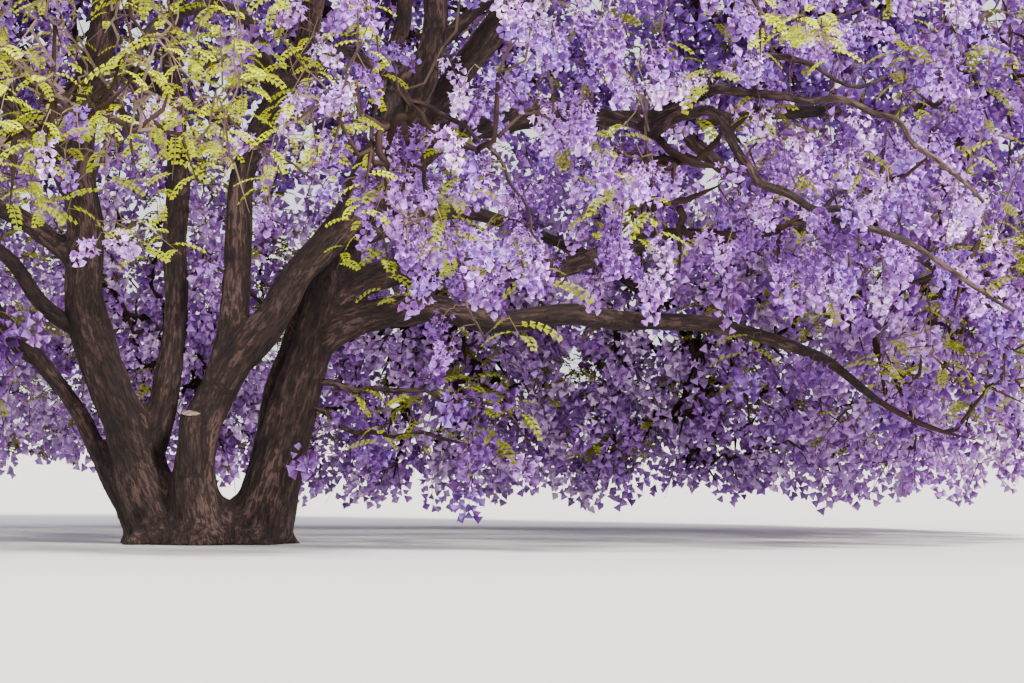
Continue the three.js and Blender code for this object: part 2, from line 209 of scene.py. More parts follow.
@dataclass(frozen=True)
class CrownShape:
    """The outline of the whole crown: a dome on a skirt whose hem rises and falls round it."""

    axis_x: float = 0.8
    axis_y: float = 0.3
    reach_right: float = 7.2
    reach_left: float = 7.0
    reach_away: float = 6.3
    reach_near: float = 5.7
    waves: tuple[tuple[int, float, float], ...] = ((3, 0.05, 60.0), (5, 0.035, 200.0))
    top: float = 9.3
    widest: float = 3.9
    drawn_in: float = 0.1
    hem: tuple[float, ...] = (0.65, 0.4, 0.45, 0.7, 1.25, 1.9, 1.65, 1.45)
    inner_reach: float = 0.6
    inner_top: float = 0.62

    def reach_at(self, angle: np.ndarray) -> np.ndarray:
        """The crown's reach from its axis: 1 / hypot(cos a / across, sin a / along), times slow waves.

        Args:
            angle: Radians from +X towards +Y.

        Returns:
            The reach at each angle.
        """
        across = np.cos(angle) / np.where(np.cos(angle) > 0, self.reach_right, self.reach_left)
        along = np.sin(angle) / np.where(np.sin(angle) > 0, self.reach_away, self.reach_near)
        waves = 1 + sum(d * np.sin(n * angle + math.radians(p)) for n, d, p in self.waves)
        return waves / np.hypot(across, along)

    def hem_at(self, angle: np.ndarray) -> np.ndarray:
        """The height of the skirt's hem at an angle."""
        return eased((*self.hem, self.hem[0]), (angle / (2 * math.pi)) % 1)

    def shares(self, points: np.ndarray) -> tuple[np.ndarray, np.ndarray, np.ndarray]:
        """Where points lie in the crown.

        Args:
            points: Places, one row each.

        Returns:
            Their shares of the reach, of the way up from the widest place to the top, and of the
            way down from there to the hem.
        """
        x, y = points[:, 0] - self.axis_x, points[:, 1] - self.axis_y
        angle = np.arctan2(y, x)
        out = np.hypot(x, y) / self.reach_at(angle)
        up = (points[:, 2] - self.widest) / (self.top - self.widest)
        down = (self.widest - points[:, 2]) / (self.widest - self.hem_at(angle))
        return out, up, down

    def holds(self, points: np.ndarray, share: float) -> np.ndarray:
        """Tests points against the leafy shell, from the hollow inside to the outline.

        Args:
            points: Places, one row each.
            share: The share of the outline's size at which the shell ends.

        Returns:
            True where a point lies in the shell.
        """
        out, up, down = self.shares(points)
        skirt = (out <= share - self.drawn_in * down * down) & (out >= self.inner_reach) & (down <= 1)
        inner = np.hypot(out / self.inner_reach, up / self.inner_top)
        dome = (np.hypot(out, up) <= share) & (inner >= 1)
        return np.where(up < 0, skirt, dome)

    def point(self, degrees: float, share: float, height: float) -> np.ndarray:
        """A place in the crown: axis + share reach (cos a, sin a), at a height.

        Args:
            degrees: The angle from +X towards +Y.
            share: The share of the reach there.
            height: The height above the ground.

        Returns:
            The place.
        """
        angle = math.radians(degrees)
        reach = float(self.reach_at(np.array(angle))) * share
        x, y = self.axis_x + reach * math.cos(angle), self.axis_y + reach * math.sin(angle)
        return np.array([x, y, height])


@dataclass
class Limb:
    """One tapering stem or bough, as a line with a radius at each place along it."""

    name: str
    radius: tuple[float, float]
    line: np.ndarray
    rooted: bool
    shown: bool = False

    STEPS = 48
    TAPER_POWER = 0.85
    COLLAR = (0.28, 0.07)
    FOOT_SWELL = (0.35, 0.05)
    CORNER_OFFSETS = (-1.0, -0.5, 0.0, 0.5, 1.0)
    CORNER_WEIGHTS = (1, 2, 3, 2, 1)

    def radius_at(self, t: np.ndarray) -> np.ndarray:
        """The radius: a power taper with a swell at the foot, tip + (foot swelled - tip) (1 - t)^p.

        Args:
            t: Shares of the length.

        Returns:
            The radius at each.
        """
        foot, tip = self.radius
        swell, length = self.FOOT_SWELL if self.rooted else self.COLLAR
        return tip + (foot * (1 + swell * np.exp(-t / length)) - tip) * (1 - t) ** self.TAPER_POWER

    @property
    def length(self) -> float:
        """The length of the line."""
        return float(np.linalg.norm(np.diff(self.line, axis=0), axis=1).sum())

    def at(self, t: np.ndarray) -> np.ndarray:
        """Places on the line, whose corners a short weighted average rounds.

        Args:
            t: Shares of the length.

        Returns:
            The place at each.
        """
        steps = np.linspace(0, 1, len(self.line))
        reach = 0.5 / self.STEPS
        inner = np.minimum(np.minimum(t, 1 - t) / reach, 1)
        total = 0
        for offset, weight in zip(self.CORNER_OFFSETS, self.CORNER_WEIGHTS):
            place = np.clip(t + offset * reach * inner, 0, 1)
            corner = np.stack([np.interp(place, steps, self.line[:, i]) for i in range(3)], -1)
            total = total + weight / sum(self.CORNER_WEIGHTS) * corner
        return total

    def way_at_tip(self) -> np.ndarray:
        """The way in which the limb ends."""
        return unit(self.line[-1] - self.line[-2])


@dataclass(frozen=True)
class SweptLimb:
    """A limb that shows from the front, given by its rise and heading along its length."""

    name: str
    length: float
    radius: tuple[float, float]
    rise: tuple[float, ...]
    heading: tuple[float, ...]
    foot: tuple[float, float] | None = None
    parent: str = ""
    share: float = 0.0


@dataclass(frozen=True)
class LimbRing:
    """A ring of limbs that arch from the stems to places round the crown."""

    kind: str
    side: str
    parents: tuple[str, ...]
    shares: tuple[float, ...]
    angles: tuple[float, ...]
    radius: tuple[float, float]


@dataclass
class Skeleton:
    """All stems and boughs, grown by the rule of the part's source and then made crooked."""

    crown: CrownShape
    foot_height: float = 0.099
    skirt_rise: tuple[float, float] = (44, -34)
    middle_rise: tuple[float, float] = (50, 12)
    skirt_share: float = 0.7
    middle_share: float = 0.66
    skirt_above_hem: float = 1.35
    middle_height: float = 5.2
    crook_wave: float = 0.5
    crook_depth: float = 0.13
    crook_ends: float = 0.7
    crook_shift: float = 17.3
    limbs: dict[str, Limb] = field(default_factory=dict)
    plain: dict[str, np.ndarray] = field(default_factory=dict)
    shoots: list[Limb] = field(default_factory=list)
    shoot_wave: float = 0.2
    shoot_depth: float = 0.09
    shoot_shift: float = 31.0
    shoot_straight: float = 6.0

    SWEPT = (
        SweptLimb("right_stem", 6.9, (0.19, 0.034), (76, 76, 64, 50, 50, 46, 30),
                  (4, 6, 2, 5, 14, 20), foot=(0.4, -0.04)),
        SweptLimb("left_stem", 7.3, (0.185, 0.034), (66, 70, 92, 97, 84, 72, 60),
                  (180, 180, 178, 170, 160), foot=(-0.3, 0.0)),
        SweptLimb("centre_stem", 7.6, (0.155, 0.032), (102, 60, 50, 60, 74, 76, 66, 58),
                  (-12, -18, 0, 55, 78, 88), foot=(-0.02, -0.18)),
        SweptLimb("back_stem", 6.7, (0.135, 0.03), (78, 74, 54, 56, 52, 40),
                  (20, 20, 55, 82, 74, 60), foot=(0.33, 0.24)),
        SweptLimb("far_left_stem", 4.7, (0.076, 0.024), (64, 60, 52, 50, 44, 24, 5),
                  (180, 180, 182, 178, 168), foot=(-0.52, 0.06)),
        SweptLimb("upright_stem", 7.4, (0.105, 0.03), (72, 86, 92, 86, 80, 82, 80),
                  (20, 10, 60, 120, 100), parent="left_stem", share=0.065),
        SweptLimb("forward_stem", 6.3, (0.112, 0.03), (76, 90, 62, 58, 62, 60, 46),
                  (20, 8, -40, -88, -100, -112), parent="centre_stem", share=0.15),
        SweptLimb("low_right_bough", 4.5, (0.12, 0.026), (34, 2, -6, 0, -2, -24, -44),
                  (-8, -4, 2, -4, -10, -12), parent="right_stem", share=0.215),
        SweptLimb("mid_right_bough", 5.0, (0.112, 0.026), (40, 4, 2, 12, 8, 0, -14),
                  (10, 8, 14, 20, 26, 30), parent="right_stem", share=0.25),
        SweptLimb("high_right_bough", 4.3, (0.086, 0.026), (30, 6, 4, -6, 8, 0, 10),
                  (-4, -8, -2, 6, -2, -12), parent="right_stem", share=0.44),
        SweptLimb("weeping_right_bough", 2.5, (0.056, 0.024), (-24, -46, -16, -24, -34),
                  (-20, -14, -20, -28), parent="high_right_bough", share=0.46),
        SweptLimb("low_left_bough", 4.3, (0.06, 0.024), (36, 44, 40, 26, 8, -6, -22),
                  (180, 184, 196, 204, 206), parent="left_stem", share=0.2),
        SweptLimb("mid_left_bough", 5.0, (0.07, 0.024), (44, 22, 6, 8, 16, 24, 22),
                  (180, 182, 194, 202, 204), parent="left_stem", share=0.285),
        SweptLimb("high_left_bough", 4.6, (0.096, 0.026), (60, 40, 42, 42, 30, 22),
                  (186, 182, 176, 170, 164), parent="left_stem", share=0.36),
    )
    SHOOTS = (
        SweptLimb("low_right_shoot", 1.9, (0.026, 0.008), (8, -12, 4, -14, -6, -30, -44),
                  (-14, -6, -12, 2, -8, -4), parent="right_stem", share=0.165),
        SweptLimb("lowest_right_shoot", 1.6, (0.024, 0.008), (-20, -34, -8, 2, -10, -34),
                  (-16, -10, -2, -8, 4), parent="right_stem", share=0.15),
        SweptLimb("inner_shoot", 1.1, (0.022, 0.008), (64, 30, 48, 20, 50),
                  (150, 170, 140, 160), parent="right_stem", share=0.2),
        SweptLimb("left_shoot", 1.3, (0.024, 0.008), (20, 44, 8, 30, -10),
                  (200, 215, 190, 205), parent="far_left_stem", share=0.3),
        SweptLimb("near_right_shoot_1", 1.9, (0.036, 0.01), (38, 24, 30, -14, -28, 30),
                  (-40, -24, -10, -20), parent="skirt_near_bough_4", share=0.94),
        SweptLimb("near_right_shoot_2", 2.7, (0.04, 0.011), (30, 24, -8, -10, -4, -40, -42, -50),
                  (-46, -28, -10, -22, -14), parent="skirt_near_bough_4", share=0.95),
        SweptLimb("near_right_shoot_3", 3.1, (0.042, 0.011), (30, 8, -66, -40, -14, -22, -34, -36, -34),
                  (-50, -30, -20, -10, -16), parent="skirt_near_bough_4", share=0.97),
        SweptLimb("near_shoot_1", 1.8, (0.02, 0.006), (-60, -76, -64, -72, -60),
                  (-70, -10, -40, 10), parent="skirt_near_bough_3", share=0.94),
        SweptLimb("near_shoot_2", 1.4, (0.018, 0.006), (-30, -70, -80, -62),
                  (-120, -100, -40, -60), parent="skirt_near_bough_3", share=0.86),
        SweptLimb("near_shoot_3", 1.5, (0.018, 0.006), (-10, -40, -66, -74),
                  (-30, -14, 10, -10), parent="skirt_near_bough_3", share=0.98),
        SweptLimb("near_left_shoot_1", 1.6, (0.018, 0.006), (-34, -16, -34, -22, -40),
                  (-30, -8, -20, 10), parent="skirt_near_bough_2", share=0.96),
        SweptLimb("near_left_shoot_2", 1.3, (0.017, 0.006), (-50, -82, -60, -84, -50),
                  (-110, -160, -80, -120), parent="skirt_near_bough_2", share=0.9),
        SweptLimb("near_left_shoot_3", 1.4, (0.017, 0.006), (-10, -40, -20, -54),
                  (-160, -172, 170, 178), parent="skirt_near_bough_2", share=0.94),
        SweptLimb("near_left_shoot_4", 1.5, (0.017, 0.006), (-16, -50, -28, -66),
                  (-50, -20, -34, -6), parent="skirt_near_bough_2", share=0.8),
    )
    STUB = SweptLimb("sawn_stub", 0.56, (0.115, 0.09), (50, 68, 92, 73), (-104, -92, -80, -88),
                     parent="centre_stem", share=0.045)
    RINGS = (
        LimbRing("skirt", "away", ("back_stem", "back_stem", "upright_stem", "upright_stem"),
                 (0.3, 0.4, 0.3, 0.37), (52, 80, 109, 138), (0.072, 0.024)),
        LimbRing("skirt", "near", ("left_stem", "forward_stem", "forward_stem", "right_stem"),
                 (0.42, 0.36, 0.27, 0.32), (226, 255, 282, 309), (0.066, 0.024)),
        LimbRing("middle", "away", ("back_stem", "centre_stem", "upright_stem"),
                 (0.56, 0.6, 0.5), (38, 84, 130), (0.066, 0.024)),
        LimbRing("middle", "near", ("left_stem", "forward_stem", "right_stem"),
                 (0.58, 0.62, 0.5), (232, 278, 322), (0.064, 0.024)),
    )

    def swept_line(self, plan: SweptLimb, start: np.ndarray) -> np.ndarray:
        """A limb's line: the running sum of short steps along its heading and rise.

        Args:
            plan: The limb's values.
            start: Where it starts.

        Returns:
            Places along it, one more than its steps.
        """
        t = (np.arange(Limb.STEPS) + 0.5) / Limb.STEPS
        ways = heading(eased(plan.heading, t), eased(plan.rise, t))
        return start + np.vstack([np.zeros(3), np.cumsum(ways * plan.length / Limb.STEPS, axis=0)])

    def arched_line(self, start: np.ndarray, end: np.ndarray, rises: tuple[float, float]) -> np.ndarray:
        """A cubic by Bernstein's formula: s^3 start + 3 s^2 t near + 3 s t^2 far + t^3 end, s = 1 - t.

        Args:
            start: Where it starts.
            end: Where it ends.
            rises: Degrees above the level at which it leaves and arrives.

        Returns:
            Places along it, one more than its steps.
        """
        azimuth = math.degrees(math.atan2(end[1] - start[1], end[0] - start[0]))
        third = np.linalg.norm(end - start) / 3
        near = start + heading(azimuth, rises[0]) * third
        far = end - heading(azimuth, rises[1]) * third
        t = np.linspace(0, 1, Limb.STEPS + 1)[:, None]
        s = 1 - t
        return s**3 * start + 3 * s * s * t * near + 3 * s * t * t * far + t**3 * end

    def add(self, name: str, radius: tuple[float, float], plain: np.ndarray, parent: str, step: int) -> None:
        """Keeps a limb whose line is made crooked by a slow noise that is nothing at both ends.

        The line is plain + sin(pi t)^ends (noise - 1/2) depth, and at its foot it follows
        the crook of its parent, which dies away as 1 - t.

        Args:
            name: The limb's name.
            radius: Its radius at the foot and the tip.
            plain: Its line by the source's rule.
            parent: The limb it springs from, or nothing.
            step: The step of the parent's line.
        """
        t = np.linspace(0, 1, len(plain))[:, None]
        along = np.linalg.norm(plain[1] - plain[0]) * np.arange(len(plain)) / self.crook_wave
        places = np.stack([along + self.crook_shift * len(self.limbs), 0 * along, 0 * along], -1)
        waves = np.stack([lattice_noise(places + [0, 7 * i, 0], SEEDS.limb + i) for i in range(3)], -1) - 0.5
        shift = self.limbs[parent].line[step] - self.plain[parent][step] if parent else np.zeros(3)
        line = plain + np.sin(math.pi * t) ** self.crook_ends * waves * self.crook_depth + shift * (1 - t)
        self.plain[name] = plain
        self.limbs[name] = Limb(name, radius, line, not parent)

    def grow(self) -> None:
        """Grows every limb, each from the nearest step of its parent's line."""
        for plan in self.SWEPT:
            step = round(plan.share * Limb.STEPS)
            start = np.array([*plan.foot, self.foot_height]) if plan.foot else self.plain[plan.parent][step]
            self.add(plan.name, plan.radius, self.swept_line(plan, start), plan.parent, step)
        for ring in self.RINGS:
            skirt = ring.kind == "skirt"
            for i, angle in enumerate(ring.angles):
                hem = float(self.crown.hem_at(np.array(math.radians(angle))))
                height = hem + self.skirt_above_hem if skirt else self.middle_height
                end = self.crown.point(angle, self.skirt_share if skirt else self.middle_share, height)
                step = round(ring.shares[i] * Limb.STEPS)
                rises = self.skirt_rise if skirt else self.middle_rise
                line = self.arched_line(self.plain[ring.parents[i]][step], end, rises)
                self.add(f"{ring.kind}_{ring.side}_bough_{i + 1}", ring.radius, line, ring.parents[i], step)
        self.shoots = [self.shoot(plan) for plan in self.SHOOTS]

    def shoot(self, plan: SweptLimb) -> Limb:
        """A small limb that springs from the side of another, made crooked by a quicker noise.

        Args:
            plan: Its values.

        Returns:
            The limb, which shows bare if it is at the near right.
        """
        line = self.swept_line(plan, self.limbs[plan.parent].at(np.array([plan.share]))[0])
        t = np.linspace(0, 1, len(line))[:, None]
        places = t * [plan.length / self.shoot_wave, 7, 3] + self.shoot_shift * plan.share
        waves = np.stack([lattice_noise(places, SEEDS.shoot + i) for i in range(3)], -1) - 0.5
        crook = waves * self.shoot_depth * np.minimum(t * self.shoot_straight, 1)
        return Limb(plan.name, plan.radius, line + crook, False, plan.name.startswith("near_right"))

    def stub(self) -> Limb:
        """The short sawn limb at the foot of the centre stem."""
        start = self.limbs[self.STUB.parent].at(np.array([self.STUB.share]))[0]
        return Limb(self.STUB.name, self.STUB.radius, self.swept_line(self.STUB, start), False)


def tube_frames(paths: np.ndarray) -> tuple[np.ndarray, np.ndarray]:
    """Two directions square to each point of many paths at once.

    The first is the way crossed with one fixed direction for each path, which is the world axis
    that the path leans to least, and the second is the way crossed with the first.

    Args:
        paths: Points, as (path, point, 3).

    Returns:
        The two directions, each shaped as the paths are.
    """
    ways = unit(np.gradient(paths, axis=1))
    mean = np.abs(ways.mean(axis=1))
    fixed = np.eye(3)[np.argmin(mean, axis=1)][:, None, :]
    across = unit(np.cross(ways, np.broadcast_to(fixed, ways.shape)))
    return across, np.cross(ways, across)


def spokes(angle: np.ndarray, across: np.ndarray, through: np.ndarray) -> np.ndarray:
    """The ways from a centre to a circle: cos a across + sin a through."""
    return np.cos(angle)[..., None] * across + np.sin(angle)[..., None] * through


def ring_grid(grid: tuple[int, int], first: float, last: float) -> tuple[np.ndarray, np.ndarray]:
    """The share, from a first to a last, and the angle of each vertex of a grid of rings and sides."""
    turn = np.linspace(0, 2 * math.pi, grid[1], endpoint=False)
    return np.repeat(np.linspace(first, last, grid[0]), grid[1]), np.tile(turn, grid[0])


def wall_faces(index: np.ndarray) -> np.ndarray:
    """The triangles between rings of vertices, two for each cell from one ring to the next.

    Args:
        index: Vertex numbers, as (ring, side) or (tube, ring, side).

    Returns:
        Triangles, turned outwards.
    """
    after = np.roll(index, -1, axis=-1)
    a, b, c, d = index[..., :-1, :], after[..., :-1, :], after[..., 1:, :], index[..., 1:, :]
    return np.concatenate([np.stack(corners, -1).reshape(-1, 3) for corners in ((a, b, c), (a, c, d))])


def fan(sides: int) -> np.ndarray:
    """The triangles from an apex, vertex 0, to a ring of vertices numbered from 1."""
    i = np.arange(sides)
    return np.stack([0 * i, 1 + (i + 1) % sides, 1 + i], -1)


def repeated(faces: np.ndarray, count: int, step: int) -> np.ndarray:
    """The triangles of many things alike, whose vertex numbers follow one another in steps."""
    return (faces[None] + (np.arange(count) * step)[:, None, None]).reshape(-1, 3)


def tubes(paths: np.ndarray, radii: np.ndarray, sides: int) -> tuple[np.ndarray, np.ndarray]:
    """Closed tubes along many paths: centre + r (cos a u + sin a v), capped by fans at both ends.

    Args:
        paths: Points, as (path, point, 3).
        radii: A radius at each point.
        sides: Corners of each ring.

    Returns:
        Vertices and triangles.
    """
    across, through = tube_frames(paths)
    angle = np.arange(sides) * 2 * math.pi / sides
    ring = spokes(angle, across[:, :, None], through[:, :, None])
    vertices = paths[:, :, None] + ring * radii[:, :, None, None]
    index = np.arange(len(paths) * paths.shape[1] * sides).reshape(*paths.shape[:2], sides)
    first, last = index[:, 0], index[:, -1]
    caps = [np.stack([first[:, 0], first[:, i + 1], first[:, i]], -1) for i in range(1, sides - 1)]
    caps += [np.stack([last[:, 0], last[:, i], last[:, i + 1]], -1) for i in range(1, sides - 1)]
    return vertices.reshape(-1, 3), np.concatenate([wall_faces(index), *caps])


def make_piece(name: str, vertices: np.ndarray, triangles: np.ndarray, materials: list[bpy.types.Material],
               slots: np.ndarray | None = None, smooth: bool = False) -> bpy.types.Object:
    """Puts arrays into a new mesh object at the origin, which rides on the one body.

    Args:
        name: The piece's name.
        vertices: One row each, in metres.
        triangles: Three vertex numbers each, turned outwards.
        materials: The materials of its slots.
        slots: The slot number of each triangle, or None for the first slot all over.
        smooth: Shades the faces as one smooth surface.

    Returns:
        The object.
    """
    mesh = bpy.data.meshes.new(name)
    mesh.vertices.add(len(vertices))
    mesh.vertices.foreach_set("co", np.ascontiguousarray(vertices, np.float32).ravel())
    mesh.loops.add(triangles.size)
    mesh.loops.foreach_set("vertex_index", np.ascontiguousarray(triangles, np.int32).ravel())
    mesh.polygons.add(len(triangles))
    mesh.polygons.foreach_set("loop_start", np.arange(0, triangles.size, 3, dtype=np.int32))
    for material in materials:
        mesh.materials.append(material)
    if slots is not None:
        mesh.polygons.foreach_set("material_index", np.ascontiguousarray(slots, np.int32))
    mesh.polygons.foreach_set("use_smooth", np.full(len(triangles), smooth))
    mesh.update(calc_edges=True)
    piece = bpy.data.objects.new(name, mesh)
    bpy.context.scene.collection.objects.link(piece)
    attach(piece, "root")
    LOG.info("%s: %d triangles", name, len(triangles))
    return piece


class Socket:
    """A shader socket, or a plain number, on which Python's operators add Math nodes."""

    def __init__(self, shader: "Shader", source: bpy.types.NodeSocket | float) -> None:
        """Wraps a socket or a number of a shader."""
        self.shader = shader
        self.source = source

    def combine(self, operation: str, *others: "Socket | float") -> "Socket":
        """A Math node of an operation on this value and others."""
        values = {i: value for i, value in enumerate((self, *others))}
        return self.shader.node("ShaderNodeMath", {"operation": operation}, values)

    def __add__(self, other: "Socket | float") -> "Socket":
        """This value plus another."""
        return self.combine("ADD", other)

    __radd__ = __add__

    def __sub__(self, other: "Socket | float") -> "Socket":
        """This value less another."""
        return self.combine("SUBTRACT", other)

    def __rsub__(self, other: "Socket | float") -> "Socket":
        """Another value less this one."""
        return Socket(self.shader, other).combine("SUBTRACT", self)

    def __mul__(self, other: "Socket | float") -> "Socket":
        """This value times another."""
        return self.combine("MULTIPLY", other)

    __rmul__ = __mul__

    def ranged(self, low: float, high: float) -> "Socket":
        """This value's place between two limits, kept from 0 to 1 and eased at both."""
        settings = {"interpolation_type": "SMOOTHSTEP"}
        return self.shader.node("ShaderNodeMapRange", settings, {0: self, 1: low, 2: high})


class Shader:
    """A material's node tree, built from one call for each node."""

    def __init__(self, name: str) -> None:
        """Starts a material with an empty tree.

        Args:
            name: The material's name.
        """
        self.material = bpy.data.materials.new(name)
        self.material.use_nodes = True
        self.tree = self.material.node_tree
        self.tree.nodes.clear()

    def node(self, kind: str, settings: dict, inputs: dict, output: int | str | None = 0) -> Socket | None:
        """Adds a node.

        Args:
            kind: The node's type.
            settings: Its own settings, set first. A ramp's stops are given as (place, colour).
            inputs: Values or links, by the number or name of the socket.
            output: The number or name of the socket that is returned, or None.

        Returns:
            The output socket, wrapped, if one is asked for.
        """
        made = self.tree.nodes.new(kind)
        for key, value in settings.items():
            if key == "stops":
                elements = made.color_ramp.elements
                while len(elements) < len(value):
                    elements.new(1.0)
                for element, (place, colour) in zip(elements, value):
                    element.position = place
                    element.color = (*colour, 1.0)
            else:
                setattr(made, key, value)
        for key, value in inputs.items():
            source = value.source if isinstance(value, Socket) else value
            if isinstance(source, bpy.types.NodeSocket):
                self.tree.links.new(source, made.inputs[key])
            else:
                made.inputs[key].default_value = source
        return None if output is None else Socket(self, made.outputs[output])

    def noise(self, place: Socket, scale: float, detail: float, roughness: float,
              bend: float = 0.0) -> Socket:
        """A noise on some coordinates.

        Args:
            place: The coordinates.
            scale: Cells to a unit of them.
            detail: How many finer layers it has.
            roughness: The weight of each layer against the last.
            bend: How far it is distorted.

        Returns:
            The noise, from 0 to 1.
        """
        return self.node("ShaderNodeTexNoise", {}, {
            "Vector": place, "Scale": scale, "Detail": detail, "Roughness": roughness, "Distortion": bend})

    def principled(self, inputs: dict) -> bpy.types.Material:
        """Ends the tree in a Principled shader.

        Args:
            inputs: Its values or links.

        Returns:
            The material.
        """
        surface = self.node("ShaderNodeBsdfPrincipled", {}, inputs)
        self.node("ShaderNodeOutputMaterial", {}, {"Surface": surface}, None)
        return self.material


@dataclass(frozen=True)
class SawnFinish:
    """Old sawn wood, pale and weathered, blotched with damp."""

    name: str
    pale: Colour = (0.5, 0.38, 0.3)
    damp: Colour = (0.2, 0.14, 0.11)
    blotch: tuple[float, float, float] = (30.0, 5.0, 0.5)
    blotch_edge: tuple[float, float] = (0.4, 0.62)
    roughness: float = 0.8

    def build(self) -> bpy.types.Material:
        """Mixes the pale and the damp colour by a noise.

        Returns:
            The material.
        """
        shader = Shader(self.name)
        place = shader.node("ShaderNodeTexCoord", {}, {}, "Object")
        blotch = shader.noise(place, *self.blotch)
        colour = shader.node("ShaderNodeMix", {"data_type": "RGBA"}, {
            0: blotch.ranged(*self.blotch_edge), 6: (*self.damp, 1.0), 7: (*self.pale, 1.0)}, 2)
        return shader.principled({"Base Color": colour, "Roughness": self.roughness})


@dataclass(frozen=True)
class PlainFinish:
    """Petal, leaf, young twig or floor: one base colour all over, with little gloss."""

    name: str
    colour: Colour
    roughness: float = 0.6
    gloss: float = 0.12

    def build(self) -> bpy.types.Material:
        """The material, whose values are all constants."""
        return Shader(self.name).principled({
            "Base Color": (*self.colour, 1.0), "Roughness": self.roughness, "Specular IOR Level": self.gloss})


@dataclass(frozen=True)
class BarkFinish:
    """Dark grey-brown bark: fissures along the limb, paler ridges and blots of worn bark.

    Each noise is its scale, detail and roughness.
    """

    name: str
    fissure: Colour = (0.006, 0.0025, 0.002)
    ridge: Colour = (0.03, 0.0135, 0.0105)
    worn: Colour = (0.15, 0.088, 0.075)
    stops: tuple[float, float, float] = (0.2, 0.54, 0.9)
    streak: tuple[float, float, float] = (42.0, 3.0, 0.55)
    streak_bend: float = 0.6
    streak_edge: tuple[float, float] = (0.36, 0.6)
    fine: tuple[float, float, float] = (110.0, 2.0, 0.6)
    tone: tuple[float, float, float] = (3.2, 5.0, 0.6)
    height_weights: tuple[float, float, float] = (0.5, 0.3, 0.2)
    shade_weights: tuple[float, float, float, float] = (0.34, 0.42, 0.55, 0.25)
    shade_drop: float = 0.33
    bump_depth: float = 0.012
    bump_strength: float = 0.8
    roughness: float = 0.88

    def build(self) -> bpy.types.Material:
        """Weighs streaks, fine grain, slow tones and the mesh's relief into a shade and a bump.

        Returns:
            The material. Its patterns read the grain attribute, which runs along each limb.
        """
        shader = Shader(self.name)
        grain = shader.node("ShaderNodeAttribute", {"attribute_name": "grain"}, {}, "Vector")
        relief = shader.node("ShaderNodeAttribute", {"attribute_name": "relief"}, {}, "Fac")
        streak = shader.noise(grain, *self.streak, self.streak_bend)
        fine, tone = shader.noise(grain, *self.fine), shader.noise(grain, *self.tone)
        ridges = streak.ranged(*self.streak_edge)
        a, b, c = self.height_weights
        height = ridges * a + fine * b + relief * c
        a, b, c, d = self.shade_weights
        shade = ridges * a + fine * b + tone * c + relief * d - self.shade_drop
        stops = tuple(zip(self.stops, (self.fissure, self.ridge, self.worn)))
        colour = shader.node("ShaderNodeValToRGB", {"stops": stops}, {"Fac": shade})
        bump = shader.node("ShaderNodeBump", {}, {
            "Strength": self.bump_strength, "Distance": self.bump_depth, "Height": height})
        return shader.principled({"Base Color": colour, "Roughness": self.roughness, "Normal": bump})


def joined(surfaces: list[Surface]) -> Surface:
    """Surfaces as one, with the vertex numbers of each moved on.

    Args:
        surfaces: Vertices, triangles, grain and relief of each.

    Returns:
        The same of them all.
    """
    offsets = np.cumsum([0] + [len(s[0]) for s in surfaces])
    triangles = np.vstack([s[1] + o for s, o in zip(surfaces, offsets)])
    return (np.vstack([s[0] for s in surfaces]), triangles, np.vstack([s[2] for s in surfaces]),
            np.concatenate([s[3] for s in surfaces]))


def grid_faces(rings: int, sides: int) -> np.ndarray:
    """The triangles of a closed tube of rings, and of fans to two poles numbered after the rings.

    Args:
        rings: How many rings it has.
        sides: Vertices in each ring.

    Returns:
        Triangles, turned outwards.
    """
    index = np.arange(rings * sides).reshape(rings, sides)
    after = np.roll(index, -1, axis=1)
    foot = np.stack([np.full(sides, rings * sides), after[0], index[0]], -1)
    tip = np.stack([np.full(sides, rings * sides + 1), index[-1], after[-1]], -1)
    return np.concatenate([wall_faces(index), foot, tip])


@dataclass
class LimbField:
    """Reads where a point lies on the nearest of some limbs."""

    limbs: list[Limb]
    samples: int = 260
    block: int = 3000

    def __post_init__(self) -> None:
        """Samples every limb."""
        t = np.linspace(0, 1, self.samples)
        paths = np.stack([limb.at(t) for limb in self.limbs])
        across, through = tube_frames(paths)
        self.places = paths.reshape(-1, 3)
        self.across, self.through = across.reshape(-1, 3), through.reshape(-1, 3)
        self.radius = np.concatenate([limb.radius_at(t) for limb in self.limbs])
        self.along = np.concatenate([t * limb.length for limb in self.limbs])
        self.number = np.repeat(np.arange(len(self.limbs)), self.samples)

    def nearest(self, points: np.ndarray) -> np.ndarray:
        """The number of the sample whose ball of the limb's radius is nearest to each point."""
        square = (points**2).sum(axis=1)[:, None] + (self.places**2).sum(axis=1) - 2 * points @ self.places.T
        return np.argmin(np.sqrt(np.maximum(square, 0)) - self.radius, axis=1)

    def read(self, points: np.ndarray) -> tuple[np.ndarray, np.ndarray]:
        """Bark coordinates: (r cos a, r sin a, length along), where r is at least the limb's radius.

        Args:
            points: Places on the bark, one row each.

        Returns:
            The coordinates and the number of the limb.
        """
        blocks = np.array_split(points, math.ceil(len(points) / self.block))
        near = np.concatenate([self.nearest(block) for block in blocks])
        offset = points - self.places[near]
        through, across = self.through[near], self.across[near]
        angle = np.arctan2((offset * through).sum(axis=1), (offset * across).sum(axis=1))
        along = self.along[near] + (offset * np.cross(across, through)).sum(axis=1)
        reach = np.maximum(self.radius[near], np.linalg.norm(offset, axis=1))
        return np.stack([reach * np.cos(angle), reach * np.sin(angle), along], -1), self.number[near]


